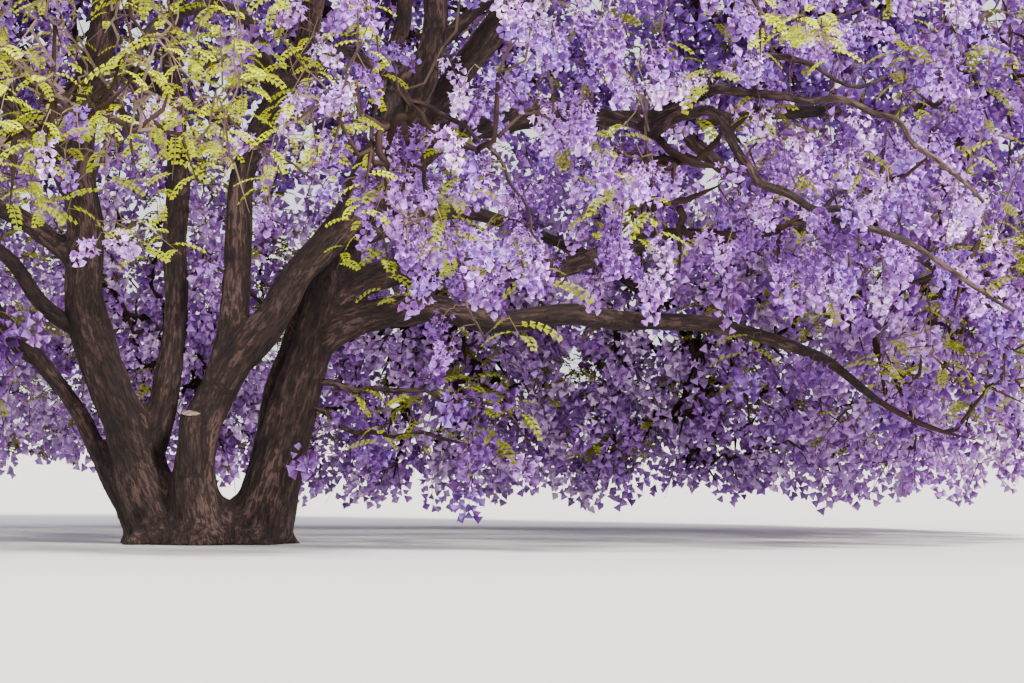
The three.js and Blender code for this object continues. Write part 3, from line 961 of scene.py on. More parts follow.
@dataclass
class BarkWork:
    """The root flare, stems and boughs, fused where they are stout, with the relief of their bark."""

    skeleton: Skeleton
    fused_radius: float = 0.07
    overlap: float = 0.03
    voxel: float = 0.032
    fillet_rounds: int = 7
    fillet_factor: float = 0.5
    sides: tuple[int, int] = (28, 12)
    ring_step: float = 0.062
    fewest_rings: int = 8
    samples: int = 260
    taper_samples: int = 200
    shoot_number: int = 40
    flute_depth: float = 0.02
    flute_radius: float = 0.15
    flute_least: float = 0.2
    flute_most: tuple[float, float] = (1.0, 1.2)
    flute_scale: float = 10.0
    flute_edge: float = 1.1
    flute_level: float = 0.6
    skin_lift: float = 0.004
    pole_relief: float = 0.7
    lump_depth: float = 0.3
    lump_scale: tuple[float, float, float] = (4.2, 4.2, 2.4)
    lump_shift: float = 11.3
    grain_stretch: float = 0.25
    grain_shift: float = 3.7
    flare_grid: tuple[int, int] = (14, 56)
    flare_half: tuple[float, float] = (0.65, 0.48)
    flare_height: float = 0.33
    flare_top_share: float = 0.3
    flare_shoulder: float = 1.7
    flare_lobes: int = 7
    flare_lobe_depth: float = 0.1
    flare_turn: float = 34.0
    face_grid: tuple[int, int] = (9, 28)
    face_inmost: float = 0.04
    face_share: float = 0.82
    face_wave: float = 0.04
    face_rise: tuple[float, float, float] = (0.003, 0.014, 0.002)
    face_ripples: float = 40.0
    face_poles: tuple[float, float] = (0.04, 0.017)

    def flutes(self, wheel: np.ndarray, number: np.ndarray | int) -> tuple[np.ndarray, np.ndarray]:
        """The bark's grain and relief at bark coordinates.

        The grain is (r cos a, r sin a, length / 4), so that every pattern on it runs along the
        limb. The relief is 1 - ridge^3, where the ridge is 1 - |2 noise - 1| on the grain.

        Args:
            wheel: Bark coordinates.
            number: The limb's number, which shifts the pattern.

        Returns:
            The grain, and the relief from 0 in a flute to 1 on a ridge.
        """
        shift = np.reshape(np.asarray(number) * self.grain_shift, (-1, 1))
        grain = wheel * [1.0, 1.0, self.grain_stretch] + shift
        ridge = 1 - np.abs(2 * layered_noise(grain * self.flute_scale, SEEDS.flute, 2) - 1)
        return grain, np.clip(1 - ridge**3 * self.flute_edge, 0, 1)

    def carved(self, radius: np.ndarray, relief: np.ndarray, most: float) -> np.ndarray:
        """How far the relief moves the skin out: depth clip(r / radius, least, most) (relief - level)."""
        depth = self.flute_depth * np.clip(radius / self.flute_radius, self.flute_least, most)
        return depth * (relief - self.flute_level)

    def tube(self, limb: Limb, number: int, first: float, last: float, stout: bool) -> Surface:
        """A stretch of a limb: centre + r (1 + lumps) (cos a u + sin a v), with closed ends.

        Args:
            limb: The limb.
            number: Its number, which chooses the pattern.
            first: The share of the length where it starts.
            last: The share where it ends.
            stout: Uses more sides and leaves the flutes to be cut after the fusing.

        Returns:
            The surface.
        """
        sides = self.sides[0] if stout else self.sides[1]
        rings = max(int(limb.length * (last - first) / self.ring_step), self.fewest_rings)
        t = np.linspace(first, last, rings)
        across, through = tube_frames(limb.at(np.linspace(0, 1, self.samples))[None])
        near = np.round(t * (self.samples - 1)).astype(int)
        angle = np.linspace(0, 2 * math.pi, sides, endpoint=False)
        way = spokes(angle, across[0, near][:, None], through[0, near][:, None]).reshape(-1, 3)
        path = limb.at(t)
        radius = np.repeat(limb.radius_at(t), sides)
        turn, along = np.tile(angle, rings), np.repeat(t * limb.length, sides)
        wheel = np.stack([radius * np.cos(turn), radius * np.sin(turn), along], -1)
        lumps = layered_noise(wheel * self.lump_scale + number * self.lump_shift, SEEDS.lump) - 0.5
        grain, relief = self.flutes(wheel, number)
        radius = radius * (1 + self.lump_depth * lumps)
        if not stout:
            radius = radius + self.carved(radius, relief, self.flute_most[0])
        skin = np.repeat(path, sides, axis=0) + way * radius[:, None]
        skin = np.vstack([skin, path[:1], path[-1:]])
        grain = np.vstack([grain, grain[:1], grain[-1:]])
        return skin, grid_faces(rings, sides), grain, np.concatenate([relief, [self.pole_relief] * 2])

    def flare(self) -> Surface:
        """The mound under the stems: an ellipse in plan that spreads to lobes at the ground.

        Its size at a share u of the height is top + (1 - top)(1 - u)^(1 / shoulder), and the
        lobes add a wave of depth 1 - u.

        Returns:
            The surface.
        """
        up, turn = ring_grid(self.flare_grid, 0, 1)
        wave = np.sin(self.flare_lobes * turn + math.radians(self.flare_turn))
        share = self.flare_top_share + (1 - self.flare_top_share) * (1 - up) ** (1 / self.flare_shoulder)
        size = share * (1 + self.flare_lobe_depth * (1 - up) * wave)
        skin = np.stack([np.cos(turn) * size * self.flare_half[0],
                         np.sin(turn) * size * self.flare_half[1], up * self.flare_height], -1)
        skin = np.vstack([skin, [[0, 0, 0], [0, 0, self.flare_height]]])
        return skin, grid_faces(*self.flare_grid), skin, np.full(len(skin), self.pole_relief)

    def fuse(self, surface: Surface) -> tuple[np.ndarray, np.ndarray, np.ndarray]:
        """Unites overlapping shells on a fine grid of voxels and smooths them, so crotches get fillets.

        Args:
            surface: The shells.

        Returns:
            Vertices, triangles and the normals of the vertices.
        """
        mesh = bpy.data.meshes.new("fusing")
        mesh.from_pydata(surface[0].tolist(), [], surface[1].tolist())
        shells = bpy.data.objects.new("fusing", mesh)
        bpy.context.scene.collection.objects.link(shells)
        union = shells.modifiers.new("union", "REMESH")
        union.mode, union.voxel_size = "VOXEL", self.voxel
        fillet = shells.modifiers.new("fillet", "SMOOTH")
        fillet.factor, fillet.iterations = self.fillet_factor, self.fillet_rounds
        shells.modifiers.new("triangles", "TRIANGULATE")
        made = shells.evaluated_get(bpy.context.evaluated_depsgraph_get()).to_mesh()
        vertices, normals = np.zeros(len(made.vertices) * 3), np.zeros(len(made.vertices) * 3)
        corners = np.zeros(len(made.loops), np.int32)
        made.vertices.foreach_get("co", vertices)
        made.vertices.foreach_get("normal", normals)
        made.loops.foreach_get("vertex_index", corners)
        bpy.data.objects.remove(shells)
        return vertices.reshape(-1, 3), corners.reshape(-1, 3), normals.reshape(-1, 3)

    def piece(self, name: str, surface: Surface, material: bpy.types.Material, nodes: list[str]) -> None:
        """Makes a bark piece with its grain and relief as attributes.

        Args:
            name: The piece's name.
            surface: Its vertices, triangles, grain and relief.
            material: The bark.
            nodes: The nodes of the part that it stands for.
        """
        made = make_piece(name, surface[0], surface[1], [material], smooth=True)
        grain = made.data.attributes.new("grain", "FLOAT_VECTOR", "POINT")
        grain.data.foreach_set("vector", surface[2].astype(np.float32).ravel())
        relief = made.data.attributes.new("relief", "FLOAT", "POINT")
        relief.data.foreach_set("value", surface[3].astype(np.float32))
        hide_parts(*nodes)

    def sawn_face(self, stub: Limb) -> None:
        """The pale sawn end of the stub: a low rippled dome, end + way (lift + dome (1 - (r / R)^2)).

        Args:
            stub: The limb whose end it covers.
        """
        share, turn = ring_grid(self.face_grid, 1, self.face_inmost)
        way, end = stub.way_at_tip(), stub.line[-1]
        across = unit(np.cross(way, UP))
        size = share * stub.radius[1] * (self.face_share + self.face_wave * np.sin(3 * turn + 1))
        lift, dome, ripple = self.face_rise
        rise = lift + dome * (1 - share**2) + ripple * np.sin(share * self.face_ripples) * share
        skin = (end + (size * np.cos(turn))[:, None] * across
                + (size * np.sin(turn))[:, None] * np.cross(way, across) + rise[:, None] * way)
        skin = np.vstack([skin, end - way * self.face_poles[0], end + way * self.face_poles[1]])
        wood = SawnFinish("sawn_wood").build()
        made = make_piece("sawn_face", skin, grid_faces(*self.face_grid), [wood], smooth=True)

    def build(self) -> None:
        """Makes the fused flare and stems, the slimmer limbs and the sawn stub."""
        material = BarkFinish("bark").build()
        limbs = list(self.skeleton.limbs.values())
        stub = self.skeleton.stub()
        stout, slim, fused = [self.flare(), self.tube(stub, len(limbs), 0.0, 1.0, True)], [], []
        t = np.linspace(0, 1, self.taper_samples)
        for number, limb in enumerate(limbs):
            ends = t[np.flatnonzero(limb.radius_at(t) > self.fused_radius)]
            last = float(ends[-1]) if len(ends) else 0.0
            if last > 0:
                stout.append(self.tube(limb, number, 0.0, max(last, self.overlap), True))
                fused.append(limb.name)
            slim.append(self.tube(limb, number, max(last - self.overlap, 0.0), 1.0, False))
        for number, shoot in enumerate(self.skeleton.shoots, start=self.shoot_number):
            slim.append(self.tube(shoot, number, 0.0, 1.0, False))
        vertices, triangles, normals = self.fuse(joined(stout))
        wheel, number = LimbField([*limbs, stub]).read(vertices)
        grain, relief = self.flutes(wheel, number)
        radius = np.linalg.norm(wheel[:, :2], axis=1)
        out = self.carved(radius, relief, self.flute_most[1]) + self.skin_lift
        vertices = vertices + normals * out[:, None]
        vertices[:, 2] = np.maximum(vertices[:, 2], 0.0)
        self.piece("stout_bark", (vertices, triangles, grain, relief), material, ["trunk_flare", *fused])
        self.piece("slim_bark", joined(slim), material, [limb.name for limb in limbs])
        self.sawn_face(stub)


class SprayKind(Enum):
    """What a twig ends in."""

    BLOSSOM = 0
    LEAF = 1
    BARE = 2


@dataclass(frozen=True)
class Twig:
    """A twig by the twig that bears it, whether at its neck, and its fork, bend, neck and tip."""

    parent: int
    from_neck: bool
    points: tuple[np.ndarray, np.ndarray, np.ndarray, np.ndarray]
    kind: SprayKind


@dataclass
class Forks:
    """The places from which later twigs may fork, each with its way and its twig."""

    places: list[np.ndarray]
    ways: list[np.ndarray]
    owners: list[tuple[int, bool]]

    def offer(self, number: int, twig: Twig) -> None:
        """Adds the middle and the neck of a twig.

        Args:
            number: The twig's number.
            twig: The twig.
        """
        fork, bend, neck, tip = twig.points
        middle = (fork + 2 * bend + neck) / 4
        for place, way, at_neck in ((middle, neck - fork, False), (neck, tip - neck, True)):
            self.places.append(place)
            self.ways.append(unit(way))
            self.owners.append((number, at_neck))


@dataclass
class TwigPlan:
    """The twigs of the whole crown as arrays: paths, radii, and the spray at each end."""

    paths: np.ndarray
    radii: np.ndarray
    kinds: np.ndarray


class Zone(Enum):
    """Parts of the crown grown unlike the rest, and two where colour paints light. Each edge is an axis, a
    start and a width.
    """

    FAR = ((1, 1.0, 1.5),)
    FRONT = ((1, -1.8, -0.8),)
    TOP = ((2, 4.7, 0.9),)
    LOW = ((2, 2.5, -0.6),)
    BEHIND = ((1, 1.0, 1.5), (2, 4.8, -1.0))
    FAR_END = ((1, 1.0, 1.5), (0, -2.5, -1.5))
    BACKDROP = ((1, 1.0, 1.5), (0, -2.5, 1.5), (2, 2.9, -0.6))
    # Paler blossom tints here are painted light, low on the far side.
    LIT_BEHIND = ((1, 0.5, 1.5), (2, 3.4, -0.8))
    NEAR_LEFT = ((1, 0.2, -1.4), (0, 1.6, -1.0))
    NEW_GROWTH = ((1, -0.6, -1.6), (0, 2.0, -1.6), (2, 5.0, -1.0))
    # More fine twigs here are painted pale as if sunlit.
    NEW_TWIGS = ((0, 1.4, -2.0), (1, 0.0, -2.0))
    YOUNG_LEAVES = ((0, 1.3, -1.2), (0, -3.4, 1.2), (2, 2.2, 0.5), (2, 4.4, -0.8))

    def share(self, points: np.ndarray) -> np.ndarray:
        """How far points are inside, from 0 to 1: the product of the ramps at the edges."""
        return np.prod([ramp(points[..., axis], start, width) for axis, start, width in self.value], axis=0)


@dataclass
class FoliageGrowth:
    """Grows each mass's twigs by the rule of the part's source, carried to finer twigs.

    Tips are scattered in the crown's shell, a spacing apart, each in the cell of the nearest
    bough's tip. From the bough outwards, each joins the nearest fork on the twigs before it.
    """

    skeleton: Skeleton
    billow_size: float = 1.5
    billow_depth: float = 0.22
    billow_start: float = 1.05
    rag_size: float = 0.7
    rag_depth: float = 0.1
    tip_spacing: float = 0.318
    near_spacing: tuple[float, float] = (0.26, 0.6)
    column_grain: tuple[float, float, float] = (2.2, 0.5, 0.75)
    column_edge: Ramp = (0.44, 0.14)
    far_spacing: tuple[float, float, float] = (0.25, 0.29, 0.22)
    top_spacing: float = 0.262
    new_spacing: float = 0.27
    new_top: Ramp = (4.6, -0.8)
    window_spacing: float = 0.36
    patch_spacing: float = 0.16
    patch_size: float = 0.9
    patch_edge: Ramp = (0.52, 0.22)
    seam_place: float = 2.85
    seam_edge: Ramp = (0.8, -0.5)
    seam_close: float = 0.075
    tuft_place: tuple[float, float, float] = (4.18, -3.9, 3.38)
    tuft_reach: float = 0.38
    tuft_spacing: float = 0.13
    tuft_core: float = 0.6
    tries: int = 32000
    mass_radius: float = 3.3
    mass_stem: float = 0.52
    site_ahead: float = 0.68
    cell_gap: float = 0.012
    box_share: float = 0.6
    spray_length: float = 0.34
    clearance: float = 0.03
    fork_starts: int = 9
    side_start: float = 0.5
    bend_share: float = 0.45
    neck_share: float = 0.7
    droop: Ramp = (0.35, 0.5)
    droop_front: float = 1.4
    least_gap: tuple[float, float] = (0.8, 0.5)
    full_weights: tuple[float, float] = (0.3, 0.5)
    leader_sunk: float = 0.03
    leader_steepest: float = -0.2
    leader_spray: float = 0.25
    tip_radius: float = 0.0045
    stoutest: float = 0.03
    end_radius: float = 0.0016
    pipe_power: float = 0.47
    curve_points: int = 7
    crook: float = 0.17
    crook_new: float = 0.17
    crook_longest: float = 0.5
    leaf_share: tuple[float, float] = (0.19, 0.1)
    leaf_new: float = 0.48
    leaf_low: float = 0.3
    leaf_left: float = 0.25
    leaf_backdrop: float = 0.12
    inner_half: float = 1.2
    inner_top: float = 2.2
    bare_share: float = 0.26
    lowest_leaf: float = 0.5
    veil: float = 0.2
    veil_samples: int = 36
    crown_share: float = 0.98
    stray_margin: float = 0.05
    far_hang: tuple[float, float] = (0.22, 0.13)
    spurs_per_metre: tuple[float, float, float] = (2.6, 8.0, 4.5)
    spur_wood: float = 0.07
    spur_place: Ramp = (0.2, 0.79)
    spur_ahead: float = 0.01
    spur_lift: tuple[float, float] = (0.15, 0.4)
    spur_bend: float = 0.5
    spur_reach: Ramp = (0.12, 0.3)
    spur_droop: Ramp = (0.6, 0.8)
    spur_spray: float = 0.8

    def sites(self) -> np.ndarray:
        """The centre of each mass's cell, past its bough's tip."""
        limbs = self.skeleton.limbs.values()
        return np.array([limb.line[-1] + limb.way_at_tip() * self.site_ahead for limb in limbs])

    def in_cell(self, points: np.ndarray, sites: np.ndarray, own: int) -> np.ndarray:
        """Tests points against a mass's cell.

        Args:
            points: Places, one row each.
            sites: The cells' centres.
            own: The mass's number.

        Returns:
            True where a point is nearer to its own site than to any other, less half a gap.
        """
        others = np.delete(sites, own, axis=0)
        middle = (others + sites[own]) / 2
        normal = unit(sites[own] - others)
        depth = points @ normal.T - (middle * normal).sum(axis=1)
        return (depth > self.cell_gap / 2).all(axis=1)

    def spaced(self, points: np.ndarray, spacing: np.ndarray) -> np.ndarray:
        """Thins points out, taking them in turn.

        Args:
            points: Places, one row each.
            spacing: The distance that each wants.

        Returns:
            Those that are at least their spacing from all those kept before them.
        """
        kept = np.zeros((len(points), 3))
        count = 0
        for point, room in zip(points, spacing):
            gaps = kept[:count] - point
            if count == 0 or (np.abs(gaps).max(axis=1).min() > room * self.box_share
                              and np.linalg.norm(gaps, axis=1).min() > room):
                kept[count] = point
                count += 1
        return kept[:count]

    def closeness(self, tip: np.ndarray) -> float:
        """How near a tip may be to its fork: nearer where the crown is to be fuller.

        Args:
            tip: The tip's place.

        Returns:
            The least distance, as a share of a spray's length.
        """
        weights = {Zone.FRONT: 1.0, Zone.FAR: self.full_weights[0], Zone.BACKDROP: 1.0,
                   Zone.TOP: self.full_weights[1]}
        full = max(weight * zone.share(tip) for zone, weight in weights.items())
        return self.least_gap[0] + (self.least_gap[1] - self.least_gap[0]) * full

    def grow_mass(self, own: int, limb: Limb, sites: np.ndarray,
                  barrier: tuple[np.ndarray, np.ndarray]) -> list[Twig]:
        """The twigs of one mass.

        Args:
            own: The mass's number.
            limb: The bough that carries it.
            sites: The cells' centres.
            barrier: Points along every limb and their radii.

        Returns:
            The twigs, each after the one that bears it.
        """
        rng = np.random.default_rng(SEEDS.mass * (own + 1))
        points = sites[own] + (rng.random((self.tries, 3)) * 2 - 1) * self.mass_radius
        points = points[self.billowed(points)]
        points = points[self.in_cell(points, sites, own)]
        points = points[~self.veils(points)]
        tips = self.spaced(points, self.room(points))
        tips = tips[np.argsort(np.linalg.norm(tips - limb.line[-1], axis=1))]
        along = limb.at(np.linspace(self.side_start, 1, self.fork_starts))
        forks = Forks(list(along), list(unit(np.gradient(along, axis=0))), [(-1, False)] * len(along))
        twigs = [self.leader(limb)]
        forks.offer(0, twigs[0])
        places, thickness = barrier
        for tip in tips:
            gaps = np.linalg.norm(np.array(forks.places) - tip, axis=1)
            near = int(np.argmin(gaps))
            fork, way = forks.places[near], forks.ways[near]
            if gaps[near] < self.spray_length * self.closeness(tip):
                continue
            kind = self.kind(tip, rng)
            out = unit(tip - fork)
            droop = chance(rng, self.droop) * (1 + self.droop_front * Zone.FRONT.share(tip))
            lean = unit(out - UP * droop)
            neck = tip - lean * min(self.spray_length, gaps[near] * self.neck_share)
            bend = fork + unit(way + out) * np.linalg.norm(neck - fork) * self.bend_share
            samples = np.array([bend, (bend + neck) / 2, neck, tip])
            reach = np.linalg.norm(samples[:, None] - places[None], axis=2) - thickness
            if reach.min() < self.clearance:
                continue
            twig = Twig(*forks.owners[near], (fork, bend, neck, tip), kind)
            forks.offer(len(twigs), twig)
            twigs.append(twig)
        return twigs

    def billowed(self, points: np.ndarray) -> np.ndarray:
        """Tests points against the crown, whose outline billows and whose hem is ragged.

        On the far side the sprays may hang a little lower than the hem.

        Args:
            points: Places, one row each.

        Returns:
            True where a point lies inside.
        """
        crown = self.skeleton.crown
        hang = self.far_hang[0] * Zone.FAR.share(points) * (points[:, 2] < crown.widest)
        hang += self.far_hang[1] * Zone.BACKDROP.share(points)
        raised = points + UP * hang[:, None]
        out, up, down = crown.shares(raised)
        waves = lattice_noise(points / self.billow_size, SEEDS.billow)
        billow = self.billow_start - self.billow_depth * waves
        rag = 1 - self.rag_depth * lattice_noise(points * [1, 1, 0] / self.rag_size, SEEDS.rag)
        return (crown.holds(raised, self.crown_share) & (np.hypot(out, np.maximum(up, 0)) < billow)
                & (down < rag))

    def veils(self, points: np.ndarray) -> np.ndarray:
        """Finds sprays that would hide the shoots that show bare, or the tuft of young leaves.

        Args:
            points: The tips of the sprays.

        Returns:
            True where a spray hangs before one of them, seen from the viewer's place.
        """
        share = np.linspace(0, 1, self.veil_samples)
        cross = np.array([[0, 0, 0], [1, 0, 0], [-1, 0, 0], [0, 0, 1], [0, 0, -1]])
        core = self.tuft_place + self.tuft_reach * self.tuft_core * cross
        shown = [shoot.at(share) for shoot in self.skeleton.shoots if shoot.shown]
        wood = np.vstack([*shown, core]) - VIEWER
        sprays = points + UP * self.spray_length / 2 - VIEWER
        seen = sprays[:, None, ::2] / sprays[:, None, 1:2] * wood[:, 1:2]
        gaps = np.linalg.norm(seen - wood[:, ::2], axis=2)
        veiling = ((gaps < self.veil) & (sprays[:, 1:2] < wood[:, 1])).any(axis=1)
        return veiling & ~self.tuft(points)

    def tuft(self, points: np.ndarray) -> np.ndarray:
        """True within the tuft of young leaves that stands out at the near right."""
        return np.linalg.norm(points - self.tuft_place, axis=-1) < self.tuft_reach

    def leader(self, limb: Limb) -> Twig:
        """The twig that carries a limb on past its tip, no steeper down than it needs.

        Args:
            limb: The limb.

        Returns:
            The twig, which is bare where its spray would stray.
        """
        way, tip = limb.way_at_tip(), limb.line[-1]
        onward = unit(way * [1, 1, 0] + UP * max(way[2], self.leader_steepest))
        neck = tip + unit(way + onward) * self.mass_stem
        bend = tip + way * self.mass_stem * self.bend_share
        points = (tip - way * self.leader_sunk, bend, neck, neck + onward * self.leader_spray)
        return Twig(-1, False, points, SprayKind.BARE if self.stray(points[3]) else SprayKind.BLOSSOM)

    def stray(self, tip: np.ndarray) -> bool:
        """Whether a tip stands so far out that its spray would seem to hang in the air."""
        return bool(self.skeleton.crown.shares(tip[None])[0][0] > self.crown_share - self.stray_margin)

    def spurs(self) -> list[Twig]:
        """Short twigs straight off the slimmer wood, closer on the shoots.

        Returns:
            The twigs, none of which bears another.
        """
        rng = np.random.default_rng(SEEDS.spur)
        twigs = []
        plans = [(limb, self.spurs_per_metre[0]) for limb in self.skeleton.limbs.values()]
        plans += [(shoot, self.spurs_per_metre[1 + shoot.shown]) for shoot in self.skeleton.shoots]
        for limb, each_metre in plans:
            for share in chance(rng, self.spur_place, round(limb.length * each_metre)):
                if limb.radius_at(share) > self.spur_wood:
                    continue
                foot, ahead = limb.at(np.array([share, min(share + self.spur_ahead, 1.0)]))
                side = unit(np.cross(ahead - foot, rng.random(3) - 0.5))
                out = unit(side + UP * self.spur_lift[0])
                reach = chance(rng, self.spur_reach)
                neck = foot + out * reach
                bend = foot + unit(out + UP * self.spur_lift[1]) * reach * self.spur_bend
                spray = unit(out - UP * chance(rng, self.spur_droop)) * self.spray_length * self.spur_spray
                if not self.stray(neck + spray):
                    kind = self.kind(neck + spray, rng)
                    twigs.append(Twig(-1, False, (foot, bend, neck, neck + spray), kind))
        return twigs

    def room(self, points: np.ndarray) -> np.ndarray:
        """The spacing wanted at each point: wider in open patches, and before the stems.

        Args:
            points: Places, one row each.

        Returns:
            The spacings.
        """
        near_left, low, far, front, top, backdrop, end = (zone.share(points) for zone in (
            Zone.NEAR_LEFT, Zone.LOW, Zone.BEHIND, Zone.FRONT, Zone.TOP, Zone.BACKDROP, Zone.FAR_END))
        patch = ramp(lattice_noise(points / self.patch_size, SEEDS.patch), *self.patch_edge)
        between = ramp(lattice_noise(points * self.column_grain, SEEDS.column), *self.column_edge)
        new = near_left * ramp(points[:, 2], *self.new_top) * (1 - low)
        inner, outer, lowest = self.far_spacing
        behind = inner + (outer - inner) * end + (lowest - inner) * backdrop
        hanging = self.near_spacing[0] + (self.near_spacing[1] - self.near_spacing[0]) * between
        wants = ((behind, far), (self.new_spacing, new), (self.top_spacing, top),
                 (hanging, front * (1 - new) * (1 - top)))
        room = self.tip_spacing + sum((spacing - self.tip_spacing) * weight for spacing, weight in wants)
        even = (1 - far) * (1 - front)
        room = room + self.window_spacing * near_left * low + self.patch_spacing * patch * even
        seam = ramp(np.abs(points[:, 0] - self.seam_place), *self.seam_edge) * backdrop
        return np.where(self.tuft(points), self.tuft_spacing, room - self.seam_close * seam)

    def kind(self, tip: np.ndarray, rng: np.random.Generator) -> SprayKind:
        """What a tip bears: more often leaves or nothing at the near left, where the new growth is.

        Args:
            tip: Its place.
            rng: Draws the lot.

        Returns:
            The kind of spray.
        """
        new = float(Zone.NEW_GROWTH.share(tip))
        inner = tip[2] < self.inner_top and abs(tip[1]) < self.inner_half
        leaf = self.leaf_share[int(tip[1] > 0)] + self.leaf_new * new
        leaf += self.leaf_left * Zone.YOUNG_LEAVES.share(tip) * (1 - new)
        leaf += self.leaf_low * inner + self.leaf_backdrop * Zone.BACKDROP.share(tip) + self.tuft(tip)
        lot = rng.random()
        if lot < leaf and tip[2] > self.lowest_leaf:
            return SprayKind.LEAF
        return SprayKind.BARE if lot < leaf + self.bare_share * new else SprayKind.BLOSSOM

    def grow(self) -> TwigPlan:
        """Grows every mass and the spurs, and works out each twig's path and radii.

        Returns:
            The whole crown's twigs.
        """
        limbs = list(self.skeleton.limbs.values())
        fine = np.linspace(0, 1, Limb.STEPS * 4)
        places = np.vstack([limb.at(fine) for limb in limbs])
        thickness = np.concatenate([limb.radius_at(fine) for limb in limbs])
        sites = self.sites()
        twigs, parents = [], []
        for own, limb in enumerate(limbs):
            grown = self.grow_mass(own, limb, sites, (places, thickness))
            parents += [twig.parent + len(twigs) if twig.parent >= 0 else -1 for twig in grown]
            twigs += grown
        spurs = self.spurs()
        twigs, parents = twigs + spurs, parents + [-1] * len(spurs)
        t = np.linspace(0, 1, self.curve_points)
        kinds = np.array([twig.kind.value for twig in twigs])
        paths = self.paths(np.array([twig.points for twig in twigs]), t)
        return TwigPlan(paths, self.radii(twigs, parents, t), kinds)

    def radii(self, twigs: list[Twig], parents: list[int], t: np.ndarray) -> np.ndarray:
        """The twigs' radii: neck + (foot - neck)(1 - t^3), and the end's at the tip.

        The radius that carries a load of tips is the tip's, times the load to the pipe power.

        Args:
            twigs: The twigs, each after the one that bears it.
            parents: The number of the twig that bears each, or -1.
            t: Shares of the curve.

        Returns:
            A radius at each share of each twig, and at its tip.
        """
        loads, onward = np.ones(len(twigs)), np.zeros(len(twigs))
        for number in range(len(twigs) - 1, -1, -1):
            if parents[number] >= 0:
                loads[parents[number]] += loads[number]
                onward[parents[number]] += loads[number] * twigs[number].from_neck
        foot, neck = (np.minimum(self.tip_radius * np.maximum(load, 1) ** self.pipe_power, self.stoutest)
                      for load in (loads, onward))
        radii = neck[:, None] + (foot - neck)[:, None] * (1 - t**3)
        return np.concatenate([radii, np.full((len(twigs), 1), self.end_radius)], axis=1)

    def paths(self, points: np.ndarray, t: np.ndarray) -> np.ndarray:
        """The twigs' paths: a quadratic by the bend, with a small crook, and on to the spray's tip.

        The crook is greater among the new growth, and nothing at fork and neck.

        Args:
            points: Forks, bends, necks and tips, as (twig, 4, 3).
            t: Shares of the curve.

        Returns:
            Places, as (twig, point, 3).
        """
        fork, bend, neck, tip = (points[:, i][:, None] for i in range(4))
        curve = bowed(fork, bend, neck, t[None, :, None])
        size = np.minimum(np.linalg.norm(neck - fork, axis=2, keepdims=True), self.crook_longest)
        crook = (self.crook + self.crook_new * Zone.NEW_GROWTH.share(neck)[..., None]) * size
        rng = np.random.default_rng(SEEDS.crook)
        steps = rng.random((len(points), self.curve_points - 2, 3)) - 0.5
        curve[:, 1:-1] += steps * crook
        return np.concatenate([curve, tip], axis=1)


class Tint(Enum):
    """The violets of the blossom: the tube's colour and the lobes' colour. They run from shade to light:
    partly the flowers' own spread of tones, partly painted shade in the deepest and painted highlights in the
    palest.
    """

    DEEP = ((0.15, 0.05, 0.23), (0.26, 0.10, 0.45))
    BLUE = ((0.22, 0.08, 0.38), (0.38, 0.19, 0.72))
    VIOLET = ((0.31, 0.11, 0.45), (0.52, 0.25, 0.80))
    LILAC = ((0.42, 0.17, 0.58), (0.67, 0.34, 0.95))
    FADED = ((0.50, 0.25, 0.68), (0.79, 0.47, 1.0))
    # Painted highlight: the palest violets stand in for light glinting on the petals.
    PALE = ((0.58, 0.32, 0.76), (0.90, 0.64, 1.0))


def parts_of(chosen: np.ndarray, most: int) -> list[np.ndarray]:
    """Cuts a list of sprays into as few even parts as keep to a number of sprays each."""
    return np.array_split(chosen, max(math.ceil(len(chosen) / most), 1))


